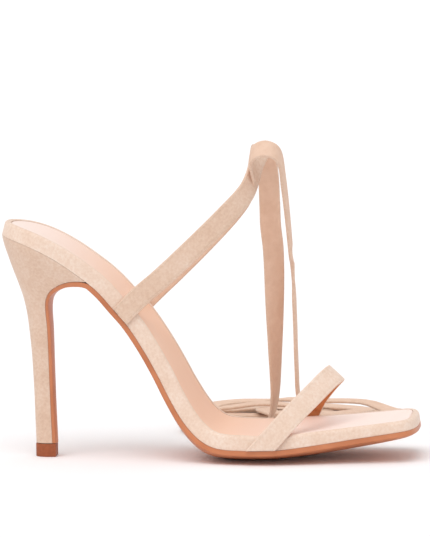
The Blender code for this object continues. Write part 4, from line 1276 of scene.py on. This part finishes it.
class SANDAL_OT_stage(bpy.types.Operator):
    """Set the camera, the pale floor with its backdrop, and the soft lights"""

    bl_idname = "sandal.stage"
    bl_label = "Stage"

    def execute(self, context):
        self.camera(context.scene)
        self.backdrop(context.scene)
        self.lights(context.scene)
        context.scene.view_settings.view_transform = "Standard"
        return {"FINISHED"}

    def camera(self, scene):
        """A long lens 6 degrees round to the toe and 6.3 degrees up, rolled by 0.66 degrees. The
        picture's middle is 84 mm along and 94 mm up from the heel tip."""
        yaw, rise, roll = CAMERA_YAW, CAMERA_RISE, CAMERA_ROLL
        right = Vector((math.cos(yaw), math.sin(yaw), 0.0))
        tilted = math.sin(rise)
        up = Vector((-math.sin(yaw) * tilted, math.cos(yaw) * tilted, math.cos(rise)))
        turned_right = right * math.cos(roll) - up * math.sin(roll)
        turned_up = right * math.sin(roll) + up * math.cos(roll)
        back = turned_right.cross(turned_up)
        middle = turned_right * CAMERA_MIDDLE[0] + turned_up * CAMERA_MIDDLE[1]
        camera = bpy.data.cameras.new("photo_camera")
        camera.sensor_fit = "VERTICAL"
        camera.sensor_height = 24.0
        camera.lens = CAMERA_DISTANCE * camera.sensor_height / CAMERA_SHOWS
        camera.clip_end = 50.0
        holder = bpy.data.objects.new("photo_camera", camera)
        scene.collection.objects.link(holder)
        columns = (turned_right, turned_up, back, middle + back * CAMERA_DISTANCE)
        rows = [[column[i] for column in columns] for i in range(3)]
        holder.matrix_world = Matrix([*rows, [0, 0, 0, 1]])
        scene.camera = holder

    def backdrop(self, scene):
        """A floor that curves up into a wall far behind the shoe: a line and a quarter circle."""
        turn = np.linspace(0, math.pi / 2, 24)
        reach = np.r_[-6.0, 6.0, 6.0 + 1.2 * np.sin(turn), 7.2]
        height = np.r_[0.0, 0.0, 1.2 * (1 - np.cos(turn)), 5.0]
        points = [(x, y, z) for y, z in zip(reach, height) for x in (-6.0, 6.0)]
        quads = [(2 * i, 2 * i + 1, 2 * i + 3, 2 * i + 2) for i in range(len(reach) - 1)]
        mesh = bpy.data.meshes.new("studio_floor")
        mesh.from_pydata(points, [], quads)
        mesh.shade_smooth()
        finish = Finish("matte_studio_floor", roughness=0.9, specular=0.1)
        finish.shader.inputs["Base Color"].default_value = linear(scene.sandal_colours.floor)
        mesh.materials.append(finish.material)
        floor = bpy.data.objects.new("studio_floor", mesh)
        scene.collection.objects.link(floor)

    def lights(self, scene):
        """An even white sky and a wide soft key from above, a little to the heel's side."""
        world = bpy.data.worlds.new("studio_sky")
        world.use_nodes = True
        sky = world.node_tree.nodes["Background"]
        sky.inputs["Color"].default_value = (1.0, 1.0, 1.0, 1.0)
        sky.inputs["Strength"].default_value = 0.70
        scene.world = world
        key = bpy.data.lights.new("soft_key", "SUN")
        key.angle = math.radians(50.0)
        key.energy = 1.35
        holder = bpy.data.objects.new("soft_key", key)
        scene.collection.objects.link(holder)
        turn = Vector((0.12, 0.45, -0.88)).to_track_quat("-Z", "Y")
        holder.matrix_world = turn.to_matrix().to_4x4()


class SANDAL_PT_panel(bpy.types.Panel):
    """The sandal's sizes, colours and buttons"""

    bl_idname = "SANDAL_PT_panel"
    bl_label = "Sandal"
    bl_space_type = "VIEW_3D"
    bl_region_type = "UI"
    bl_category = "Sandal"

    def draw(self, context):
        for operator in OPERATORS:
            self.layout.operator(operator.bl_idname)
        for group in (context.scene.sandal_sizes, context.scene.sandal_colours):
            for name in group.__annotations__:
                self.layout.prop(group, name)


OPERATORS = (SANDAL_OT_stage, SANDAL_OT_ties, SANDAL_OT_sole, SANDAL_OT_heel, SANDAL_OT_straps)
CLASSES = (SandalSizes, SandalColours, *OPERATORS, SANDAL_PT_panel)


def register():
    """Add the classes and the scene's two property groups."""
    for cls in CLASSES:
        bpy.utils.register_class(cls)
    bpy.types.Scene.sandal_sizes = bpy.props.PointerProperty(type=SandalSizes)
    bpy.types.Scene.sandal_colours = bpy.props.PointerProperty(type=SandalColours)


def unregister():
    """Take them away again."""
    del bpy.types.Scene.sandal_colours
    del bpy.types.Scene.sandal_sizes
    for cls in reversed(CLASSES):
        bpy.utils.unregister_class(cls)


def main():
    """Build everything."""
    register()
    bpy.ops.sandal.stage()
    bpy.ops.sandal.ties()
    bpy.ops.sandal.sole()
    bpy.ops.sandal.heel()
    bpy.ops.sandal.straps()


if __name__ == "__main__":
    main()
